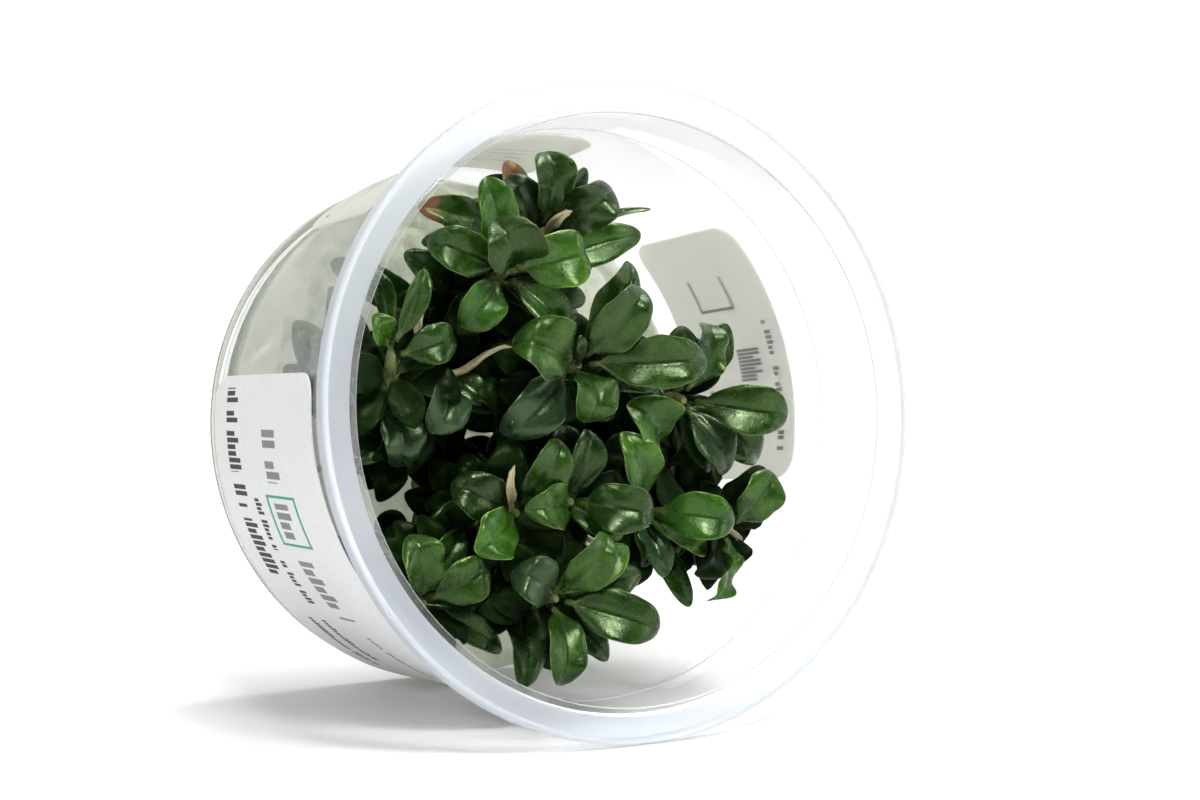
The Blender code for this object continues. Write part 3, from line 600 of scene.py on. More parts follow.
def stem_tree():
    """Build the tree that grows a stem or a root along a curve, with its old leaf scars."""
    tree = GrowTree("stem", [
        ("Start", "Vector"), ("Middle", "Vector"), ("End", "Vector"),
        ("Foot Radius", "Float"), ("Tip Radius", "Float"), ("Scars", "Float"),
        ("Wander", "Float"), ("Steps", "Int"), ("Sides", "Int"), ("Seed", "Float"),
        ("Material", "Material"),
    ])
    given = tree.given
    curve = tree.result("GeometryNodeCurveQuadraticBezier", {
        "Resolution": given["Steps"], "Start": given["Start"],
        "Middle": given["Middle"], "End": given["End"],
    })
    share = tree.result("GeometryNodeSplineParameter")
    seeded = tree.total(tree.scaled(tree.position(), 0.35), tree.xyz(given["Seed"], 0.0, 0.0))
    drift = tree.node("ShaderNodeTexNoise", {"Vector": seeded, "Scale": 0.6, "Detail": 1.0})
    drift = tree.vector("SUBTRACT", drift.outputs[1], (0.5, 0.5, 0.5))
    drift = tree.scaled(drift, given["Wander"])
    held = tree.times(tree.band(share, 0.0, 0.2), tree.band(share, 0.8, 1.0, 1.0, 0.3))
    curve = tree.result("GeometryNodeSetPosition", {
        "Geometry": curve, "Offset": tree.scaled(drift, held)})
    size = tree.band(share, 0.0, 1.0, given["Foot Radius"], given["Tip Radius"], smooth=False)
    scar = tree.math("SINE", tree.times(share, given["Scars"], math.pi))
    scar = tree.power(tree.math("ABSOLUTE", scar), 8.0)
    size = tree.times(size, tree.less(1.1, tree.times(scar, 0.16)),
                      tree.band(share, 0.97, 1.0, 1.0, 0.55))
    curve = tree.keep(curve, "along", share)
    sized = tree.result("GeometryNodeSetCurveRadius", {"Curve": curve, "Radius": size})
    ring = tree.result("GeometryNodeCurvePrimitiveCircle", {
        "Resolution": given["Sides"], "Radius": 1.0})
    tube = tree.result("GeometryNodeCurveToMesh", {
        "Curve": sized, "Profile Curve": ring, "Scale": size, "Fill Caps": True})
    return tree.finish(tube)


def thicket_tree():
    """Build the tree that sets old leaves in a spiral round a stem, inside the cup."""
    tree = GrowTree("lower leaves", [
        ("Start", "Vector"), ("Middle", "Vector"), ("End", "Vector"),
        ("Leaf", "Object"), ("Count", "Int"), ("Size", "Float"), ("Rise", "Float"),
        ("Cup Radius", "Float"), ("Seed", "Int"), ("Material", "Material"),
    ])
    given = tree.given
    curve = tree.result("GeometryNodeCurveQuadraticBezier", {
        "Resolution": 24, "Start": given["Start"], "Middle": given["Middle"], "End": given["End"],
    })
    points = tree.node("GeometryNodeCurveToPoints", {"Curve": curve, "Count": given["Count"]})
    leaf = tree.node("GeometryNodeObjectInfo", {"Object": given["Leaf"]}).outputs["Geometry"]
    index = tree.result("GeometryNodeInputIndex")

    def chance(low, high, offset):
        """Return a number between two limits, one for each leaf."""
        node = tree.node("FunctionNodeRandomValue", data_type="FLOAT")
        floats = [s for s in node.inputs if s.type == "VALUE"]
        tree.feed(floats[0], low)
        tree.feed(floats[1], high)
        tree.feed(node.inputs["Seed"], tree.add(given["Seed"], offset))
        return next(s for s in node.outputs if s.type == "VALUE")

    golden = math.radians(137.5)
    heading = tree.add(tree.times(index, golden), chance(-0.5, 0.5, 1.0))
    tilt = tree.times(tree.add(given["Rise"], chance(-0.35, 0.35, 2.0)), -1.0)
    roll = chance(-0.5, 0.5, 3.0)
    size = tree.times(given["Size"], chance(0.75, 1.15, 4.0))
    turned = tree.result("FunctionNodeEulerToRotation", {0: tree.xyz(roll, tilt, heading)})
    leaves = tree.result("GeometryNodeInstanceOnPoints", {
        "Points": points.outputs[0], "Instance": leaf, "Rotation": turned,
        "Scale": tree.xyz(size, size, size),
    })
    real = tree.result("GeometryNodeRealizeInstances", {"Geometry": leaves})
    x, y, z = tree.parts(tree.position())
    radius = tree.vector("LENGTH", tree.xyz(x, y, 0.0))
    pull = tree.math("MINIMUM", tree.math("DIVIDE", given["Cup Radius"], radius), 1.0)
    level = tree.math("MAXIMUM", z, OLD_LEAF_FLOOR)
    inside = tree.xyz(tree.times(x, pull), tree.times(y, pull), level)
    kept = tree.result("GeometryNodeSetPosition", {"Geometry": real, "Position": inside})
    return tree.finish(kept)


def jelly_tree():
    """Build the tree that pours the jelly: a disc with a lumpy, cracked top."""
    tree = GrowTree("jelly", [
        ("Foot Radius", "Float"), ("Top Radius", "Float"), ("Floor", "Float"), ("Top", "Float"),
        ("Lump", "Float"), ("Sag", "Float"), ("Lean", "Float"), ("Crack", "Float"),
        ("Seed", "Float"), ("Material", "Material"),
    ])
    given = tree.given
    drum = tree.result("GeometryNodeMeshCylinder", {
        "Vertices": CUP_SEGMENTS, "Side Segments": 12, "Fill Segments": 60,
        "Radius": 1.0, "Depth": 1.0,
    })
    spot = tree.parts(tree.position())
    level = tree.add(spot[2], 0.5)
    rounded = tree.less(1.0, tree.times(0.035, tree.power(tree.less(1.0, level), 8.0)))
    radius = tree.band(level, 0.0, 1.0, given["Foot Radius"], given["Top Radius"], smooth=False)
    radius = tree.times(radius, rounded)
    x, y = tree.times(spot[0], radius), tree.times(spot[1], radius)
    swell = tree.math("SINE", tree.add(tree.times(x, GEL_SWELL_X), GEL_SWELL_SHIFT))
    swell = tree.times(swell, tree.math("COSINE", tree.times(y, GEL_SWELL_Y)))
    lumps = tree.math("SINE", tree.less(tree.times(x, GEL_LUMP_X), tree.times(y, GEL_LUMP_Y)))
    flat = tree.xyz(x, y, given["Seed"])
    fine = tree.less(tree.noise(flat, 0.35, 3.0), 0.5)
    cracks = tree.result(
        "ShaderNodeTexVoronoi", {"Vector": flat, "Scale": 0.11}, feature="DISTANCE_TO_EDGE")
    crack = tree.times(tree.band(cracks, 0.0, 0.08, 1.0, 0.0), given["Crack"])
    relief = tree.times(tree.add(swell, lumps), given["Lump"], 0.5)
    relief = tree.add(relief, tree.times(fine, 1.2))
    slope = tree.less(tree.times(x, given["Lean"]), tree.times(y, given["Sag"]))
    top = tree.add(tree.add(given["Top"], slope), tree.less(relief, crack))
    height = tree.add(tree.times(level, top), tree.times(tree.less(1.0, level), given["Floor"]))
    drum = tree.keep(drum, "depth", height)
    poured = tree.result("GeometryNodeSetPosition", {
        "Geometry": drum, "Position": tree.xyz(x, y, height)})
    return tree.finish(poured)


def gel_height(x, y):
    """Return the uneven top of the jelly."""
    swell = math.sin(GEL_SWELL_X * x + GEL_SWELL_SHIFT) * math.cos(GEL_SWELL_Y * y)
    lumps = math.sin(GEL_LUMP_X * x - GEL_LUMP_Y * y)
    level = GEL_TOP + GEL_LEAN * x - GEL_SAG * y
    return level + GEL_LUMP * (0.5 * swell + 0.5 * lumps)


def shoot_path(shoot):
    """Return the three points of a shoot's stem, from its foot on the jelly."""
    (x, y), middle, crown = SHOOTS[shoot]
    return Vector((x, y, gel_height(x, y) + FOOT_LIFT)), Vector(middle), Vector(crown)


def bezier(shoot):
    """Return the start, the control point and the end of a shoot's curve."""
    start, middle, end = shoot_path(shoot)
    return start, 2.0 * middle - 0.5 * (start + end), end


def path_point(shoot, share):
    """Return the point at a share of a shoot's curve."""
    start, bend, end = bezier(shoot)
    return (1 - share) ** 2 * start + 2 * share * (1 - share) * bend + share ** 2 * end


def stem_point(shoot, drop):
    """Return the point of a shoot's stem that lies a drop below its crown."""
    start, middle, end = shoot_path(shoot)
    length = (end - middle).length + (middle - start).length
    return path_point(shoot, 1.0 - drop / length)


def leaf_base(shoot, drop, tip, reach):
    """Return where a leaf starts: beside the stem, towards its tip."""
    start = stem_point(shoot, drop)
    away = Vector(tip) - start
    away.z = 0.0
    return start + reach * away.normalized()


def leaf(name, base, tip, width, arch, finish, chance, **shape):
    """Grow one leaf from its base to its tip."""
    base, tip = Vector(base), Vector(tip)
    chord = tip - base
    upper = Vector((0.0, 0.0, 1.0))
    upper = (upper - chord * (upper.dot(chord) / chord.length_squared)).normalized()
    values = {
        "Base": base,
        "Bend": (base + tip) / 2 + 2.0 * arch * upper,
        "Tip": tip,
        "Upper": upper,
        "Steps Along": 40,
        "Steps Round": 41,
        "Width": width,
        "Thickness": LEAF_THICKNESS,
        "Stalk Width": min(STALK_WIDTH, 0.45 * width + 0.3),
        "Stalk Share": STALK_SHARE,
        "Fullness": chance.uniform(0.95, 1.2),
        "Cupping": chance.uniform(0.12, 0.40),
        "Groove": 0.035 * width,
        "Wave": chance.uniform(0.08, 0.24),
        "Wave Count": chance.uniform(0.9, 1.7),
        "Tip Curl": chance.uniform(0.6, 1.9),
        "Twist": chance.uniform(-15, 15),
        "Roll": chance.uniform(-12, 12),
        "Sickle": chance.uniform(-0.06, 0.06) * width,
        "Crumple": 0.35,
        "Seed": chance.random(),
        "Material": FINISHES[finish],
    }
    values.update(shape)
    return grown(name, TREES["leaf"], values)


# Finishes.


def finish_tree(name):
    """Return a new material, the short calls for its nodes, and its shader."""
    made = bpy.data.materials.new(name)
    made.use_nodes = True
    return made, Tree(made.node_tree), made.node_tree.nodes["Principled BSDF"]


def attribute(tree, label):
    """Return a number that the mesh keeps at each point."""
    return tree.node("ShaderNodeAttribute", attribute_name=label).outputs["Fac"]


def bump(tree, shader, height, strength, distance):
    """Raise a finish by a pattern."""
    raised = tree.result("ShaderNodeBump", {
        "Height": height, "Strength": strength, "Distance": distance})
    tree.feed(shader.inputs["Normal"], raised)


def leaf_finish(name, deep, fresh, under, margin, speckle, roughness, gloss=0.5, tip=None):
    """Make a leaf's finish: deep and fresh green, underside, pale margin, speckles, dead tip, and painted
    shade along the midrib and at the leaf's foot.
    """
    made, tree, shader = finish_tree(name)
    where = tree.on_object()
    along, across = attribute(tree, "along"), attribute(tree, "across")
    face, seed = attribute(tree, "face"), attribute(tree, "seed")
    reach = tree.math("ABSOLUTE", across)

    patches = tree.noise(where, 260.0, 3.0, 0.6)
    colour = tree.mix(tree.band(patches, 0.35, 0.7), deep, fresh)
    grain = tree.result("ShaderNodeTexVoronoi", {"Vector": where, "Scale": 2000.0})
    dots = tree.times(tree.band(grain, 0.10, 0.30, 1.0, 0.0), tree.band(patches, 0.40, 0.62),
                      speckle)
    colour = tree.mix(dots, colour, margin)
    mottle = tree.noise(where, 1500.0, 2.0, 0.6)
    colour = tree.mix(tree.times(tree.band(mottle, 0.35, 0.7), 0.30), colour, deep)
    # Painted shade: a darker line in the midrib's groove.
    midrib = tree.times(tree.band(reach, 0.015, 0.07, 1.0, 0.0),
                        tree.band(along, 0.92, 1.0, 1.0, 0.0))
    colour = tree.mix(tree.times(midrib, 0.55), colour, tuple(0.45 * part for part in deep))
    edge = tree.add(tree.band(reach, 0.95, 0.998), tree.times(tree.band(along, 0.98, 1.0), 0.7))
    colour = tree.mix(tree.math("MINIMUM", tree.times(edge, 0.75), 1.0), colour, margin)
    # Painted shade: darker towards the leaf's foot, near the crown.
    foot = tree.band(along, 0.05, 0.45, 0.6, 0.0)
    colour = tree.mix(foot, colour, tuple(0.7 * part for part in deep))
    if tip:
        dead = tree.band(tree.add(along, tree.times(patches, 0.3)), 0.93, 1.02)
        colour = tree.mix(dead, colour, tip)
    stalk = tree.band(along, 0.0, 0.10, 1.0, 0.0)
    colour = tree.mix(tree.times(stalk, 0.8), colour, (0.10, 0.13, 0.035))
    below = tree.band(face, -0.15, 0.05, 1.0, 0.0)
    colour = tree.mix(tree.times(below, 0.8), colour, under)
    tone = tree.band(seed, 0.0, 1.0, 0.35, 0.76, smooth=False)
    colour = tree.mix(1.0, colour, tree.xyz(tone, tone, tone), "MULTIPLY")

    worn = tree.noise(where, 700.0, 2.0, 0.6)
    worn = tree.band(worn, 0.3, 0.75, roughness - 0.08, roughness + 0.08)
    tree.fill(shader, {
        "Base Color": colour,
        "Roughness": tree.add(worn, tree.times(below, 0.18)),
        "Specular IOR Level": gloss,
        "Specular Tint": (0.73, 1.0, 0.53, 1.0),
    })
    cells = tree.noise(where, 3200.0, 2.0, 0.6)
    relief = tree.add(tree.times(cells, 0.3), tree.times(mottle, 0.5))
    bump(tree, shader, relief, 0.75, 0.00012)
    return made


def stem_finish():
    """Make the stems' finish: olive to brown, darker brown towards the foot."""
    made, tree, shader = finish_tree("stem skin")
    where = tree.on_object()
    along = attribute(tree, "along")
    patches = tree.noise(where, 420.0, 3.0, 0.6)
    colour = tree.mix(tree.band(patches, 0.35, 0.68), (0.055, 0.085, 0.020), (0.13, 0.15, 0.045))
    foot = tree.times(tree.band(along, 0.0, 0.5, 1.0, 0.0), 0.7)
    colour = tree.mix(foot, colour, (0.06, 0.045, 0.020))
    tree.fill(shader, {"Base Color": colour, "Roughness": 0.42})
    bump(tree, shader, tree.noise(where, 1600.0, 3.0, 0.6), 0.4, 0.0002)
    return made


def root_finish():
    """Make the roots' finish: pale brown and matt."""
    made, tree, shader = finish_tree("root skin")
    where = tree.on_object()
    patches = tree.noise(where, 500.0, 3.0, 0.6)
    colour = tree.mix(tree.band(patches, 0.3, 0.7), (0.10, 0.065, 0.03), (0.30, 0.23, 0.12))
    tree.fill(shader, {"Base Color": colour, "Roughness": 0.6})
    return made


def dry_finish():
    """Make the finish of a leaf that has dried: tan to brown, with darker streaks."""
    made, tree, shader = finish_tree("dry leaf")
    where = tree.on_object()
    along, across = attribute(tree, "along"), attribute(tree, "across")
    length = tree.xyz(tree.times(across, 6.0), tree.times(along, 1.5), 0.0)
    streaks = tree.noise(length, 2.0, 3.0, 0.7)
    colour = tree.mix(tree.band(streaks, 0.3, 0.7), (0.30, 0.22, 0.09), (0.62, 0.57, 0.36))
    patches = tree.noise(where, 500.0, 2.0, 0.6)
    colour = tree.mix(tree.times(tree.band(patches, 0.45, 0.7), 0.6), colour, (0.09, 0.10, 0.03))
    tree.fill(shader, {"Base Color": colour, "Roughness": 0.5})
    bump(tree, shader, streaks, 0.5, 0.0002)
    return made


def jelly_finish():
    """Make the jelly's finish: pale green-cream, wet and cloudy, with whitish cracks, painted shade on
    its sides and its foot, and a painted glow on its top.
    """
    made, tree, shader = finish_tree("jelly")
    where = tree.on_object()
    depth = attribute(tree, "depth")
    clouds = tree.noise(where, 130.0, 4.0, 0.6, 0.6)
    colour = tree.mix(tree.band(clouds, 0.3, 0.7), (0.78, 0.84, 0.62), (0.97, 0.98, 0.91))
    cracks = tree.noise(where, 220.0, 4.0, 0.7, 2.0)
    flecks = tree.times(tree.band(cracks, 0.56, 0.62), tree.band(depth, 2.0, 5.0))
    colour = tree.mix(flecks, colour, (0.98, 0.98, 0.94))
    shade = tree.times(tree.band(cracks, 0.42, 0.36), 0.35)
    colour = tree.mix(shade, colour, (0.45, 0.52, 0.32))
    # Painted shade: the jelly's sides below its top are greyer.
    colour = tree.mix(tree.band(depth, 6.0, 9.5, 0.75, 0.0), colour, (0.30, 0.345, 0.285))
    side_flecks = tree.times(flecks, tree.band(depth, 6.0, 9.5, 0.7, 0.0))
    colour = tree.mix(side_flecks, colour, (0.90, 0.92, 0.84))
    # Painted shade: the jelly darkens to olive at its foot.
    colour = tree.mix(tree.band(depth, 1.5, 4.0, 0.85, 0.0), colour, (0.07, 0.10, 0.025))
    tree.fill(shader, {
        "Base Color": colour,
        "Roughness": 0.25,
        "IOR": 1.34,
        "Transmission Weight": 0.5,
        # Painted light: a faint glow on the jelly's top.
        "Emission Color": (0.95, 0.98, 0.84, 1.0),
        "Emission Strength": tree.band(depth, 8.0, 10.0, 0.0, 0.08),
    })
    bump(tree, shader, tree.noise(where, 420.0, 3.0, 0.6), 0.5, 0.0006)
    return made


def plastic_finish(name, colour, roughness, transmission, cover, ior, gloss=0.0, foot=None):
    """Make a clear or milky plastic finish with faint flow marks; a foot colour paints shade that darkens
    its foot.
    """
    made, tree, shader = finish_tree(name)
    where = tree.on_object()
    tree.fill(shader, {
        "Base Color": (*colour, 1.0),
        "IOR": ior,
        "Coat Weight": gloss,
        "Coat Roughness": 0.06,
        "Roughness": roughness,
        "Transmission Weight": transmission,
        "Alpha": cover,
    })
    # Painted shade: the foot darkens to the foot colour towards its bottom edge.
    if foot:
        level = tree.band(attribute(tree, "height"), 1.0, FOOT_TOP)
        tree.feed(shader.inputs["Base Color"], tree.mix(level, foot, colour))
    bump(tree, shader, tree.noise(where, 90.0, 2.0, 0.5, 0.4), 0.08, 0.0006)
    return made


def sticker_finish(name, clearness, paper, marks):
    """Make a paper finish, white or see-through, that carries bars of print."""
    made, tree, shader = finish_tree(name)
    where = tree.on_object()
    u, v, _ = tree.parts(tree.result("ShaderNodeUVMap", uv_map="UVMap"))
    fibres = tree.noise(where, 1400.0, 3.0, 0.6)
    colour = tree.mix(tree.band(fibres, 0.3, 0.7), tuple(0.94 * part for part in paper), paper)
    for left, right, low, high, ink, blocks in marks:
        wide = tree.times(tree.math("GREATER_THAN", u, left), tree.math("LESS_THAN", u, right))
        if blocks:
            beat = tree.times(u, blocks)
            wide = tree.times(wide, tree.math("GREATER_THAN", tree.math("FRACT", beat), 0.28))
            cell = tree.xyz(tree.math("FLOOR", beat), 20.0 * low, 0.0)
            draw = tree.node("ShaderNodeTexWhiteNoise", {"Vector": cell}).outputs["Value"]
            wide = tree.times(wide, tree.math("GREATER_THAN", draw, 0.14))
            short = tree.math("GREATER_THAN", draw, 0.55)
            high = tree.less(high, tree.times(short, 0.3 * (high - low)))
        tall = tree.times(tree.math("GREATER_THAN", v, low), tree.math("LESS_THAN", v, high))
        colour = tree.mix(tree.times(wide, tall), colour, ink)
    tree.fill(shader, {
        "Base Color": colour,
        "Roughness": 0.75,
        "Specular IOR Level": 0.3,
        "Transmission Weight": clearness,
    })
    bump(tree, shader, fibres, 0.10, 0.0001)
    return made


# The cup and its stickers.


def wall_radius(height):
    """Return the outer radius of the cup's wall at a height, with its step at the ledge."""
    shoulder = LEDGE_HEIGHT - LEDGE_STEP / 2
    if height <= shoulder:
        share = (height - BASE_CORNER) / (shoulder - BASE_CORNER)
        return BASE_RADIUS + share * (LEDGE_RADIUS + WALL - BASE_RADIUS)
    foot, collar = LEDGE_RADIUS + WALL, COLLAR_RADIUS + WALL
    if height <= shoulder + LEDGE_STEP:
        return foot + (height - shoulder) / LEDGE_STEP * (collar - foot)
    share = (height - shoulder - LEDGE_STEP) / (CUP_HEIGHT - FLANGE - shoulder - LEDGE_STEP)
    return collar + share * (MOUTH_RADIUS + WALL - collar)


def arc(centre_radius, centre_height, size, start, end, steps=4):
    """Return the points of a rounded corner in the cup's section."""
    points = []
    for step in range(steps + 1):
        angle = math.radians(start + (end - start) * step / steps)
        out, up = size * math.cos(angle), size * math.sin(angle)
        points.append((centre_radius + out, centre_height + up))
    return points


def cup_profile():
    """Return the cup's section as (radius, height), up its outside and back down inside."""
    shoulder = LEDGE_HEIGHT - LEDGE_STEP / 2
    collar = LEDGE_HEIGHT + LEDGE_STEP / 2
    shelf = CUP_HEIGHT - FLANGE
    face_level = CUP_HEIGHT - FACE_DIP
    inner_skirt = FLANGE_RADIUS - WALL
    mouth = MOUTH_RADIUS + WALL
    return [
        (0.0, 0.0), (BASE_RADIUS - BASE_CORNER - 4.0, 0.0),
        *arc(BASE_RADIUS - BASE_CORNER, BASE_CORNER, BASE_CORNER, -90, -2, 6),
        *((wall_radius(height), height) for height in (FOOT_TOP, shoulder - 6, shoulder)),
        (wall_radius(collar), collar), (wall_radius(58), 58), (mouth, shelf - 0.4),
        (mouth + 0.4, shelf), (inner_skirt - 0.3, shelf), (inner_skirt, shelf - 0.3),
        (inner_skirt, SKIRT + 0.15), (inner_skirt + 0.15, SKIRT),
        (FLANGE_RADIUS - 0.15, SKIRT), (FLANGE_RADIUS, SKIRT + 0.15),
        *arc(FLANGE_RADIUS - RIM_EDGE, CUP_HEIGHT - RIM_EDGE, RIM_EDGE, 0, 110),
        (FLANGE_RADIUS - 0.85, face_level + 0.04), (FLANGE_RADIUS - 1.0, face_level),
        (FLANGE_RADIUS - 1.2, face_level), (MOUTH_RADIUS + 1.3, face_level),
        (MOUTH_RADIUS + 1.1, face_level), (MOUTH_RADIUS + 0.95, face_level + 0.04),
        *arc(MOUTH_RADIUS + RIM_EDGE, CUP_HEIGHT - RIM_EDGE, RIM_EDGE, 70, 180),
        (COLLAR_RADIUS + 0.05, LEDGE_HEIGHT + 0.5),
        (COLLAR_RADIUS - 0.15, LEDGE_HEIGHT + 0.05),
        (COLLAR_RADIUS - 0.40, LEDGE_HEIGHT - 0.02),
        (LEDGE_RADIUS + 0.15, LEDGE_HEIGHT - 0.1), (LEDGE_RADIUS, shoulder - RIM_EDGE),
        (BASE_RADIUS - WALL, BASE_CORNER + 1.0), (BASE_RADIUS - BASE_CORNER - 0.6, BOTTOM),
        (0.0, BOTTOM),
    ]


def meshed(name, work, sharp_angle, finishes):
    """Return an object made of a finished bmesh, with its sharp edges and its finishes."""
    mesh = bpy.data.meshes.new(name)
    work.to_mesh(mesh)
    work.free()
    mesh.set_sharp_from_angle(angle=math.radians(sharp_angle))
    for finish in finishes:
        mesh.materials.append(finish)
    made = bpy.data.objects.new(name, mesh)
    bpy.context.collection.objects.link(made)
    return made


def cup_finish_at(radius, height):
    """Return which of the cup's finishes a face has, by its radius and its height."""
    outside = radius > wall_radius(height) * ROUND - 0.5 * WALL or height < BOTTOM - 0.05
    # Painted shade: the outside of the foot takes the dark olive finish.
    if outside and radius > BASE_RADIUS - BASE_CORNER - 0.4 and height < FOOT_TOP:
        return FOOT_SHADE
    # Painted shade: grey lines at the mouth's inner lip and at the ledge's step.
    if MOUTH_RADIUS < radius / ROUND < MOUTH_RADIUS + 0.2 and height > CUP_HEIGHT - RIM_EDGE:
        return EDGE_SHADE
    if -0.40 < radius / ROUND - COLLAR_RADIUS < -0.15 and abs(height - LEDGE_HEIGHT) < 0.1:
        return EDGE_SHADE
    return MILKY if radius > MOUTH_RADIUS + 0.9 and height > SKIRT - 0.5 else CLEAR


def cup(finishes):
    """Spin the cup: a clear wall, a milky flange, and painted shade: grey edges where light is lost, and
    a dark olive foot.
    """
    work = bmesh.new()
    points = [work.verts.new((radius * ROUND, 0.0, height)) for radius, height in cup_profile()]
    edges = [work.edges.new(pair) for pair in zip(points, points[1:])]
    bmesh.ops.spin(
        work, geom=points + edges, axis=(0, 0, 1), cent=(0, 0, 0),
        angle=2 * math.pi, steps=CUP_SEGMENTS,
    )
    bmesh.ops.remove_doubles(work, verts=work.verts, dist=1e-4)
    bmesh.ops.recalc_face_normals(work, faces=work.faces)
    height = work.verts.layers.float.new("height")
    for vertex in work.verts:
        vertex[height] = vertex.co.z
    for face in work.faces:
        middle = face.calc_center_median()
        face.material_index = cup_finish_at(math.hypot(middle.x, middle.y), middle.z)
        face.smooth = True
    return meshed("cup_wall", work, 40, finishes)


def sticker(name, finish):
    """Bend a sticker with rounded corners round the cup's wall."""
    middle, half, low, high, skew = STICKERS[name]
    corner = math.degrees(STICKER_CORNER / BASE_RADIUS)
    work = bmesh.new()
    prints = work.loops.layers.uv.new("UVMap")
    rows = []
    for step in range(STICKER_COLUMNS + 1):
        angle = -half * math.cos(math.pi * step / STICKER_COLUMNS)
        past = max(corner - (half - abs(angle)), 0.0) / corner
        inset = STICKER_CORNER * (1.0 - math.sqrt(max(1.0 - past * past, 0.0)))
        bottom, top = low + inset, high - inset
        rise = (top - bottom) / STICKER_ROWS
        heights = [bottom + rise * part for part in range(STICKER_ROWS + 1)]
        row = []
        for lift in (FIT_GAP, FIT_GAP + STICKER_THICKNESS):
            side = []
            for height in heights:
                radius = wall_radius(height) * ROUND + lift - STICKER_SINK
                turn = math.radians(middle + angle + skew * ((height - low) / (high - low) - 0.5))
                spot = (radius * math.cos(turn), radius * math.sin(turn), height)
                print_at = ((angle + half) / (2 * half), (height - low) / (high - low))
                side.append((work.verts.new(spot), print_at))
            row.append(side)
        rows.append(row[0] + row[1][::-1])

    def skin(*corners):
        """Add one face with its place on the sticker."""
        face = work.faces.new([vertex for vertex, _ in corners])
        face.smooth = True
        for loop, (_, print_at) in zip(face.loops, corners):
            loop[prints].uv = print_at

    count = len(rows[0])
    for row, following in zip(rows, rows[1:]):
        for part in range(count):
            after = (part + 1) % count
            skin(row[part], row[after], following[after], following[part])
    half_count = count // 2
    for row in (rows[0], rows[-1]):
        for part in range(half_count - 1):
            skin(row[part], row[part + 1], row[count - 2 - part], row[count - 1 - part])
    bmesh.ops.recalc_face_normals(work, faces=work.faces)
    return meshed(name + "_paper", work, 50, [finish])


# The plant.


def rows_of(table, shoot_name):
    """Return what a table says of one shoot."""
    return [row[1:] for row in table if row[0] == shoot_name]


def shoot(name, chance):
    """Grow a shoot: its stem, its roots, its small leaves and the old leaves below."""
    start, bend, end = bezier(name)
    parts = [grown("stem_" + name, TREES["stem"], {
        "Start": start - Vector((0.0, 0.0, FOOT_LIFT)), "Middle": bend, "End": end,
        "Foot Radius": 1.4 * STEM_RADIUS, "Tip Radius": 0.85 * STEM_RADIUS, "Scars": STEM_SCARS,
        "Wander": 0.8, "Steps": 60, "Sides": 14, "Seed": chance.random() * 50,
        "Material": FINISHES["stem"],
    })]
    for heading, length in rows_of(ROOTS, name):
        spots = []
        for share, turn in ((0.0, 0.0), (0.55, 18.0), (1.0, 20.0)):
            way = math.radians(heading + turn)
            x = start.x + math.cos(way) * length * share
            y = start.y + math.sin(way) * length * share
            spots.append(Vector((x, y, gel_height(x, y) + ROOT_RADIUS)))
        parts.append(grown("root", TREES["stem"], {
            "Start": spots[0], "Middle": spots[1], "End": spots[2],
            "Foot Radius": ROOT_RADIUS * 1.1, "Tip Radius": ROOT_RADIUS * 0.7, "Scars": 0.0,
            "Wander": 2.5, "Steps": 30, "Sides": 8, "Seed": chance.random() * 50,
            "Material": FINISHES["root"],
        }))
    for drop, tip, width, arch, roll, finish in rows_of(SMALL_LEAVES, name):
        base = leaf_base(name, drop, tip, JOINED_REACH)
        shape = {"Roll": roll + chance.uniform(-10, 10), "Steps Along": 32, "Steps Round": 33}
        if finish == "dry":
            shape.update({"Cupping": 0.7, "Crumple": 2.0, "Twist": 60.0})
        parts.append(leaf("small_leaf", base, tip, width, arch, finish, chance, **shape))
    for drop, heading, length, width in rows_of(LOWER_LEAVES, name):
        angle = math.radians(heading)
        away = Vector((length * math.cos(angle), length * math.sin(angle), LOWER_LEAF_RISE))
        tip = stem_point(name, drop) + away
        base = leaf_base(name, drop, tip, JOINED_REACH)
        finish = chance.choice(("dark", "mid", "blue"))
        shape = {"Steps Along": 24, "Steps Round": 25}
        parts.append(leaf("lower_leaf", base, tip, width, 1.5, finish, chance, **shape))
    parts.append(grown("old_leaves_" + name, TREES["thicket"], {
        "Start": path_point(name, 0.3), "Middle": path_point(name, 0.6),
        "End": path_point(name, 0.88), "Leaf": OLD_LEAF,
        "Count": OLD_LEAF_COUNT, "Size": OLD_LEAF_SIZE,
        "Rise": 0.35, "Cup Radius": OLD_LEAF_REACH, "Seed": chance.randrange(1000),
        "Material": FINISHES["shaded"],
    }))
    made = joined(parts)
    made.name = "foliage_" + name
    return made


def jelly():
    """Pour the jelly into the bottom of the cup."""
    ease = WALL + FIT_GAP + GEL_EASE
    return grown("jelly_disc", jelly_tree(), {
        "Foot Radius": wall_radius(GEL_FOOT) * ROUND - ease,
        "Top Radius": wall_radius(GEL_TOP) * ROUND - ease,
        "Floor": BOTTOM + FIT_GAP, "Top": GEL_TOP, "Lump": GEL_LUMP, "Sag": GEL_SAG,
        "Lean": GEL_LEAN, "Crack": 0.7, "Seed": 3.0, "Material": FINISHES["jelly"],
    })


# Room, light and camera.


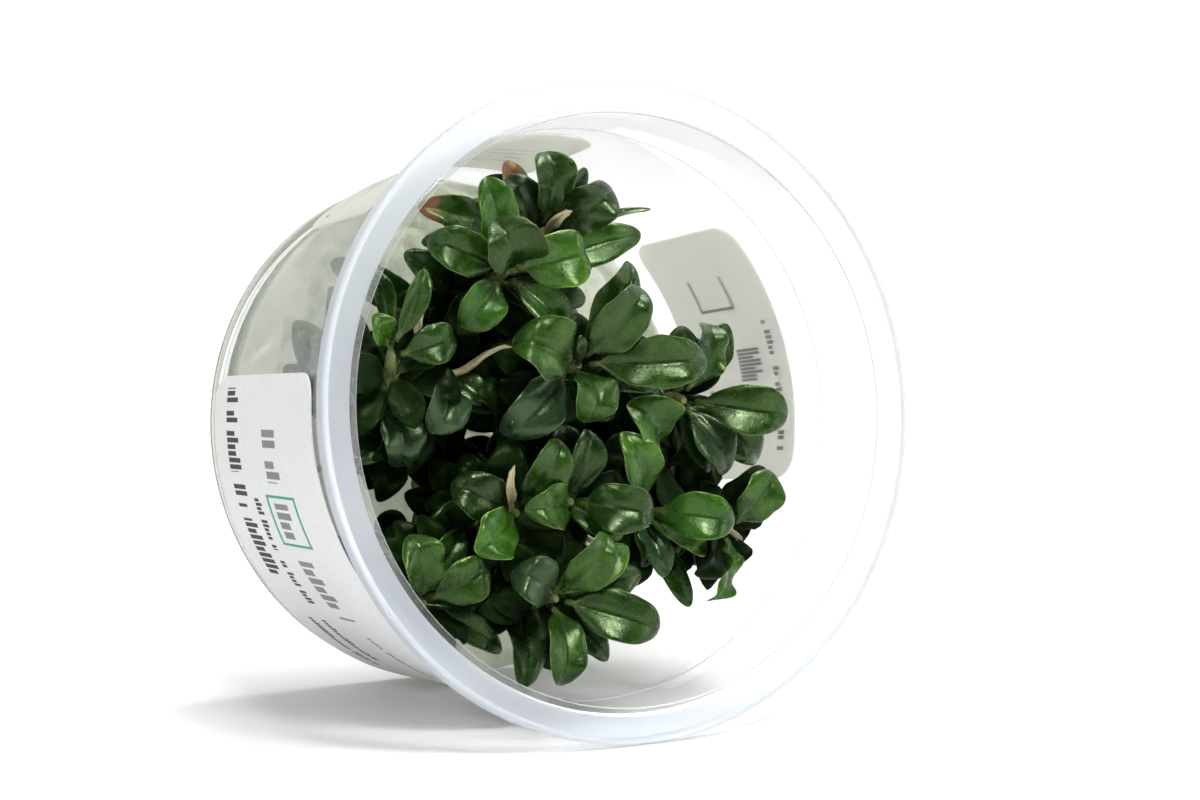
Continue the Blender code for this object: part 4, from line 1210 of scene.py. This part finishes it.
def room():
    """Lay the pale floor and hang the soft lights."""
    bpy.ops.mesh.primitive_plane_add(size=60.0, location=(0.0, 0.0, 0.0))
    floor = bpy.context.object
    floor.name = "floor"
    paint, tree, shader = finish_tree("floor paint")
    away = tree.vector("LENGTH", tree.on_object())
    tree.fill(shader, {
        "Base Color": (0.80, 0.80, 0.805, 1.0),
        "Roughness": 0.9,
        "Specular IOR Level": 0.2,
        "Emission Color": (1.0, 1.0, 1.0, 1.0),
        "Emission Strength": tree.band(away, 0.12, 1.1, 0.02, 0.65),
    })
    floor.data.materials.append(paint)

    world = bpy.data.worlds.new("studio")
    bpy.context.scene.world = world
    world.use_nodes = True
    tree = Tree(world.node_tree)
    direction = tree.node("ShaderNodeTexCoord").outputs["Generated"]
    towards = tree.vector("DOT_PRODUCT", direction, DIM_SIDE)
    tree.fill(world.node_tree.nodes["Background"], {
        "Color": (1.0, 1.0, 1.0, 1.0),
        "Strength": tree.band(towards, -0.35, 0.50, 0.9, 0.06),
    })

    for name, place, size, power in (
        ("light above", (0.40, 0.10, 0.95), 0.50, 11.0),
        ("light front", (-0.10, -0.75, 0.95), 0.30, 12.0),
        ("light right", (0.80, -0.60, 0.35), 0.40, 2.2),
        ("light left", (-0.95, -0.35, 0.45), 0.50, 2.4),
    ):
        lamp = bpy.data.lights.new(name, "AREA")
        lamp.shape = "SQUARE"
        lamp.size = size
        lamp.energy = power
        made = bpy.data.objects.new(name, lamp)
        made.location = place
        aim = Vector((0.0, 0.0, 0.05)) - Vector(place)
        made.rotation_euler = aim.to_track_quat("-Z", "Y").to_euler()
        bpy.context.collection.objects.link(made)


def camera():
    """Set the camera at the photograph's viewing angle."""
    lens = bpy.data.cameras.new("camera")
    lens.sensor_width = SENSOR_WIDTH
    lens.lens = LENS
    lens.clip_start = 0.01
    made = bpy.data.objects.new("camera", lens)
    bpy.context.collection.objects.link(made)
    turn = Matrix.Rotation(math.radians(-FROM_LEFT), 4, "Z")
    turn = turn @ Matrix.Rotation(math.radians(90.0 - FROM_ABOVE), 4, "X")
    mouth_centre = LYING @ Vector((0.0, 0.0, CUP_HEIGHT))
    place = mouth_centre + turn @ Vector(CAMERA_PLACE) / 1000
    made.matrix_world = Matrix.Translation(place) @ turn
    bpy.context.scene.camera = made
    bpy.context.scene.view_settings.view_transform = "Standard"


# Building it all.

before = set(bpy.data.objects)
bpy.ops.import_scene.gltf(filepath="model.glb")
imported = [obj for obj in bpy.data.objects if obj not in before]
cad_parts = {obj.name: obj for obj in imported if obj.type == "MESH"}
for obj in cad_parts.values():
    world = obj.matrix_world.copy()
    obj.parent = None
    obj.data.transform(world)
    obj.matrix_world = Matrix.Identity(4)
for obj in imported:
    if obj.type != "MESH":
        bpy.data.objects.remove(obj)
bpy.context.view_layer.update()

camera()
room()

MID_GREENS = ((0.010, 0.042, 0.002), (0.032, 0.100, 0.006), (0.060, 0.110, 0.035),
              (0.20, 0.36, 0.06))
FINISHES = {
    "dark": leaf_finish("dark leaf", (0.007, 0.027, 0.002), (0.016, 0.058, 0.004),
                        (0.050, 0.090, 0.030), (0.13, 0.26, 0.05), 0.35, 0.31),
    "mid": leaf_finish("leaf", *MID_GREENS, 0.40, 0.31),
    "vivid": leaf_finish("fresh leaf", (0.012, 0.062, 0.002), (0.038, 0.145, 0.006),
                         (0.065, 0.130, 0.030), (0.28, 0.50, 0.06), 0.35, 0.31),
    "bright": leaf_finish("young leaf", (0.020, 0.078, 0.004), (0.066, 0.190, 0.010),
                          (0.080, 0.160, 0.035), (0.40, 0.58, 0.09), 0.45, 0.31),
    "blue": leaf_finish("blue-green leaf", (0.012, 0.036, 0.012), (0.028, 0.068, 0.024),
                        (0.060, 0.100, 0.050), (0.16, 0.27, 0.10), 0.20, 0.33),
    "shaded": leaf_finish("shaded leaf", (0.003, 0.009, 0.001), (0.006, 0.024, 0.002),
                          (0.012, 0.024, 0.006), (0.03, 0.07, 0.012), 0.15, 0.42, 0.10),
    "scorched": leaf_finish("leaf with a dead tip", *MID_GREENS, 0.35, 0.31,
                            tip=(0.20, 0.075, 0.03)),
    "dry": dry_finish(),
    "stem": stem_finish(),
    "root": root_finish(),
    "jelly": jelly_finish(),
}
TREES = {"leaf": leaf_tree(), "stem": stem_tree(), "thicket": thicket_tree()}
OLD_LEAF = leaf("old_leaf", (0.8, 0, 0), (10.5, 0, 0.5), 5.2, 1.2, "dark", random.Random(5), **{
    "Steps Along": 16, "Steps Round": 17, "Roll": 0.0, "Twist": 8.0,
})

for number, row in enumerate(LEAVES):
    name, owner, drop, tip, width, arch, finish, cupping, wave, curl, twist, roll = row
    base = leaf_base(owner, drop, tip, STEM_RADIUS + LEAF_GAP)
    chance = random.Random(number)
    blade = leaf(name + "_blade", base, tip, BLADE_FLARE * width, arch, finish, chance, **{
        "Cupping": LEAST_CUPPING + CUPPING_GAIN * cupping, "Wave": WAVE_GAIN * wave,
        "Tip Curl": LEAST_CURL + CURL_GAIN * curl, "Twist": float(twist), "Roll": float(roll),
    })
    laid_down(blade, "leaf", name)

for number, name in enumerate(SHOOTS):
    laid_down(shoot(name, random.Random(100 + number)), "stem", "shoot_" + name)
bpy.data.objects.remove(OLD_LEAF)

laid_down(jelly(), "jelly", "gel")
PLASTICS = {
    CLEAR: plastic_finish("clear plastic", (0.97, 0.98, 0.985), 0.22, 1.0, 0.28, 1.12, 0.8),
    MILKY: plastic_finish("milky plastic", (0.82, 0.87, 0.93), 0.32, 0.72, 0.75, 1.45),
    # Painted shade: a dark olive foot.
    FOOT_SHADE: plastic_finish("painted shade foot plastic", (0.66, 0.70, 0.58), 0.22, 0.60, 0.90, 1.12, 0.3,
                         (0.035, 0.05, 0.015)),
    # Painted shade: grey edges at the lip and the ledge.
    EDGE_SHADE: plastic_finish("painted shade edge plastic", (0.50, 0.53, 0.57), 0.30, 0.3, 0.9, 1.45),
}
laid_down(cup(PLASTICS.values()), "cup_plastic", "cup")

for name, print_row in PRINTS.items():
    paper = sticker_finish(name + " print", *print_row)
    laid_down(sticker(name, paper), "sticker_paper", name)
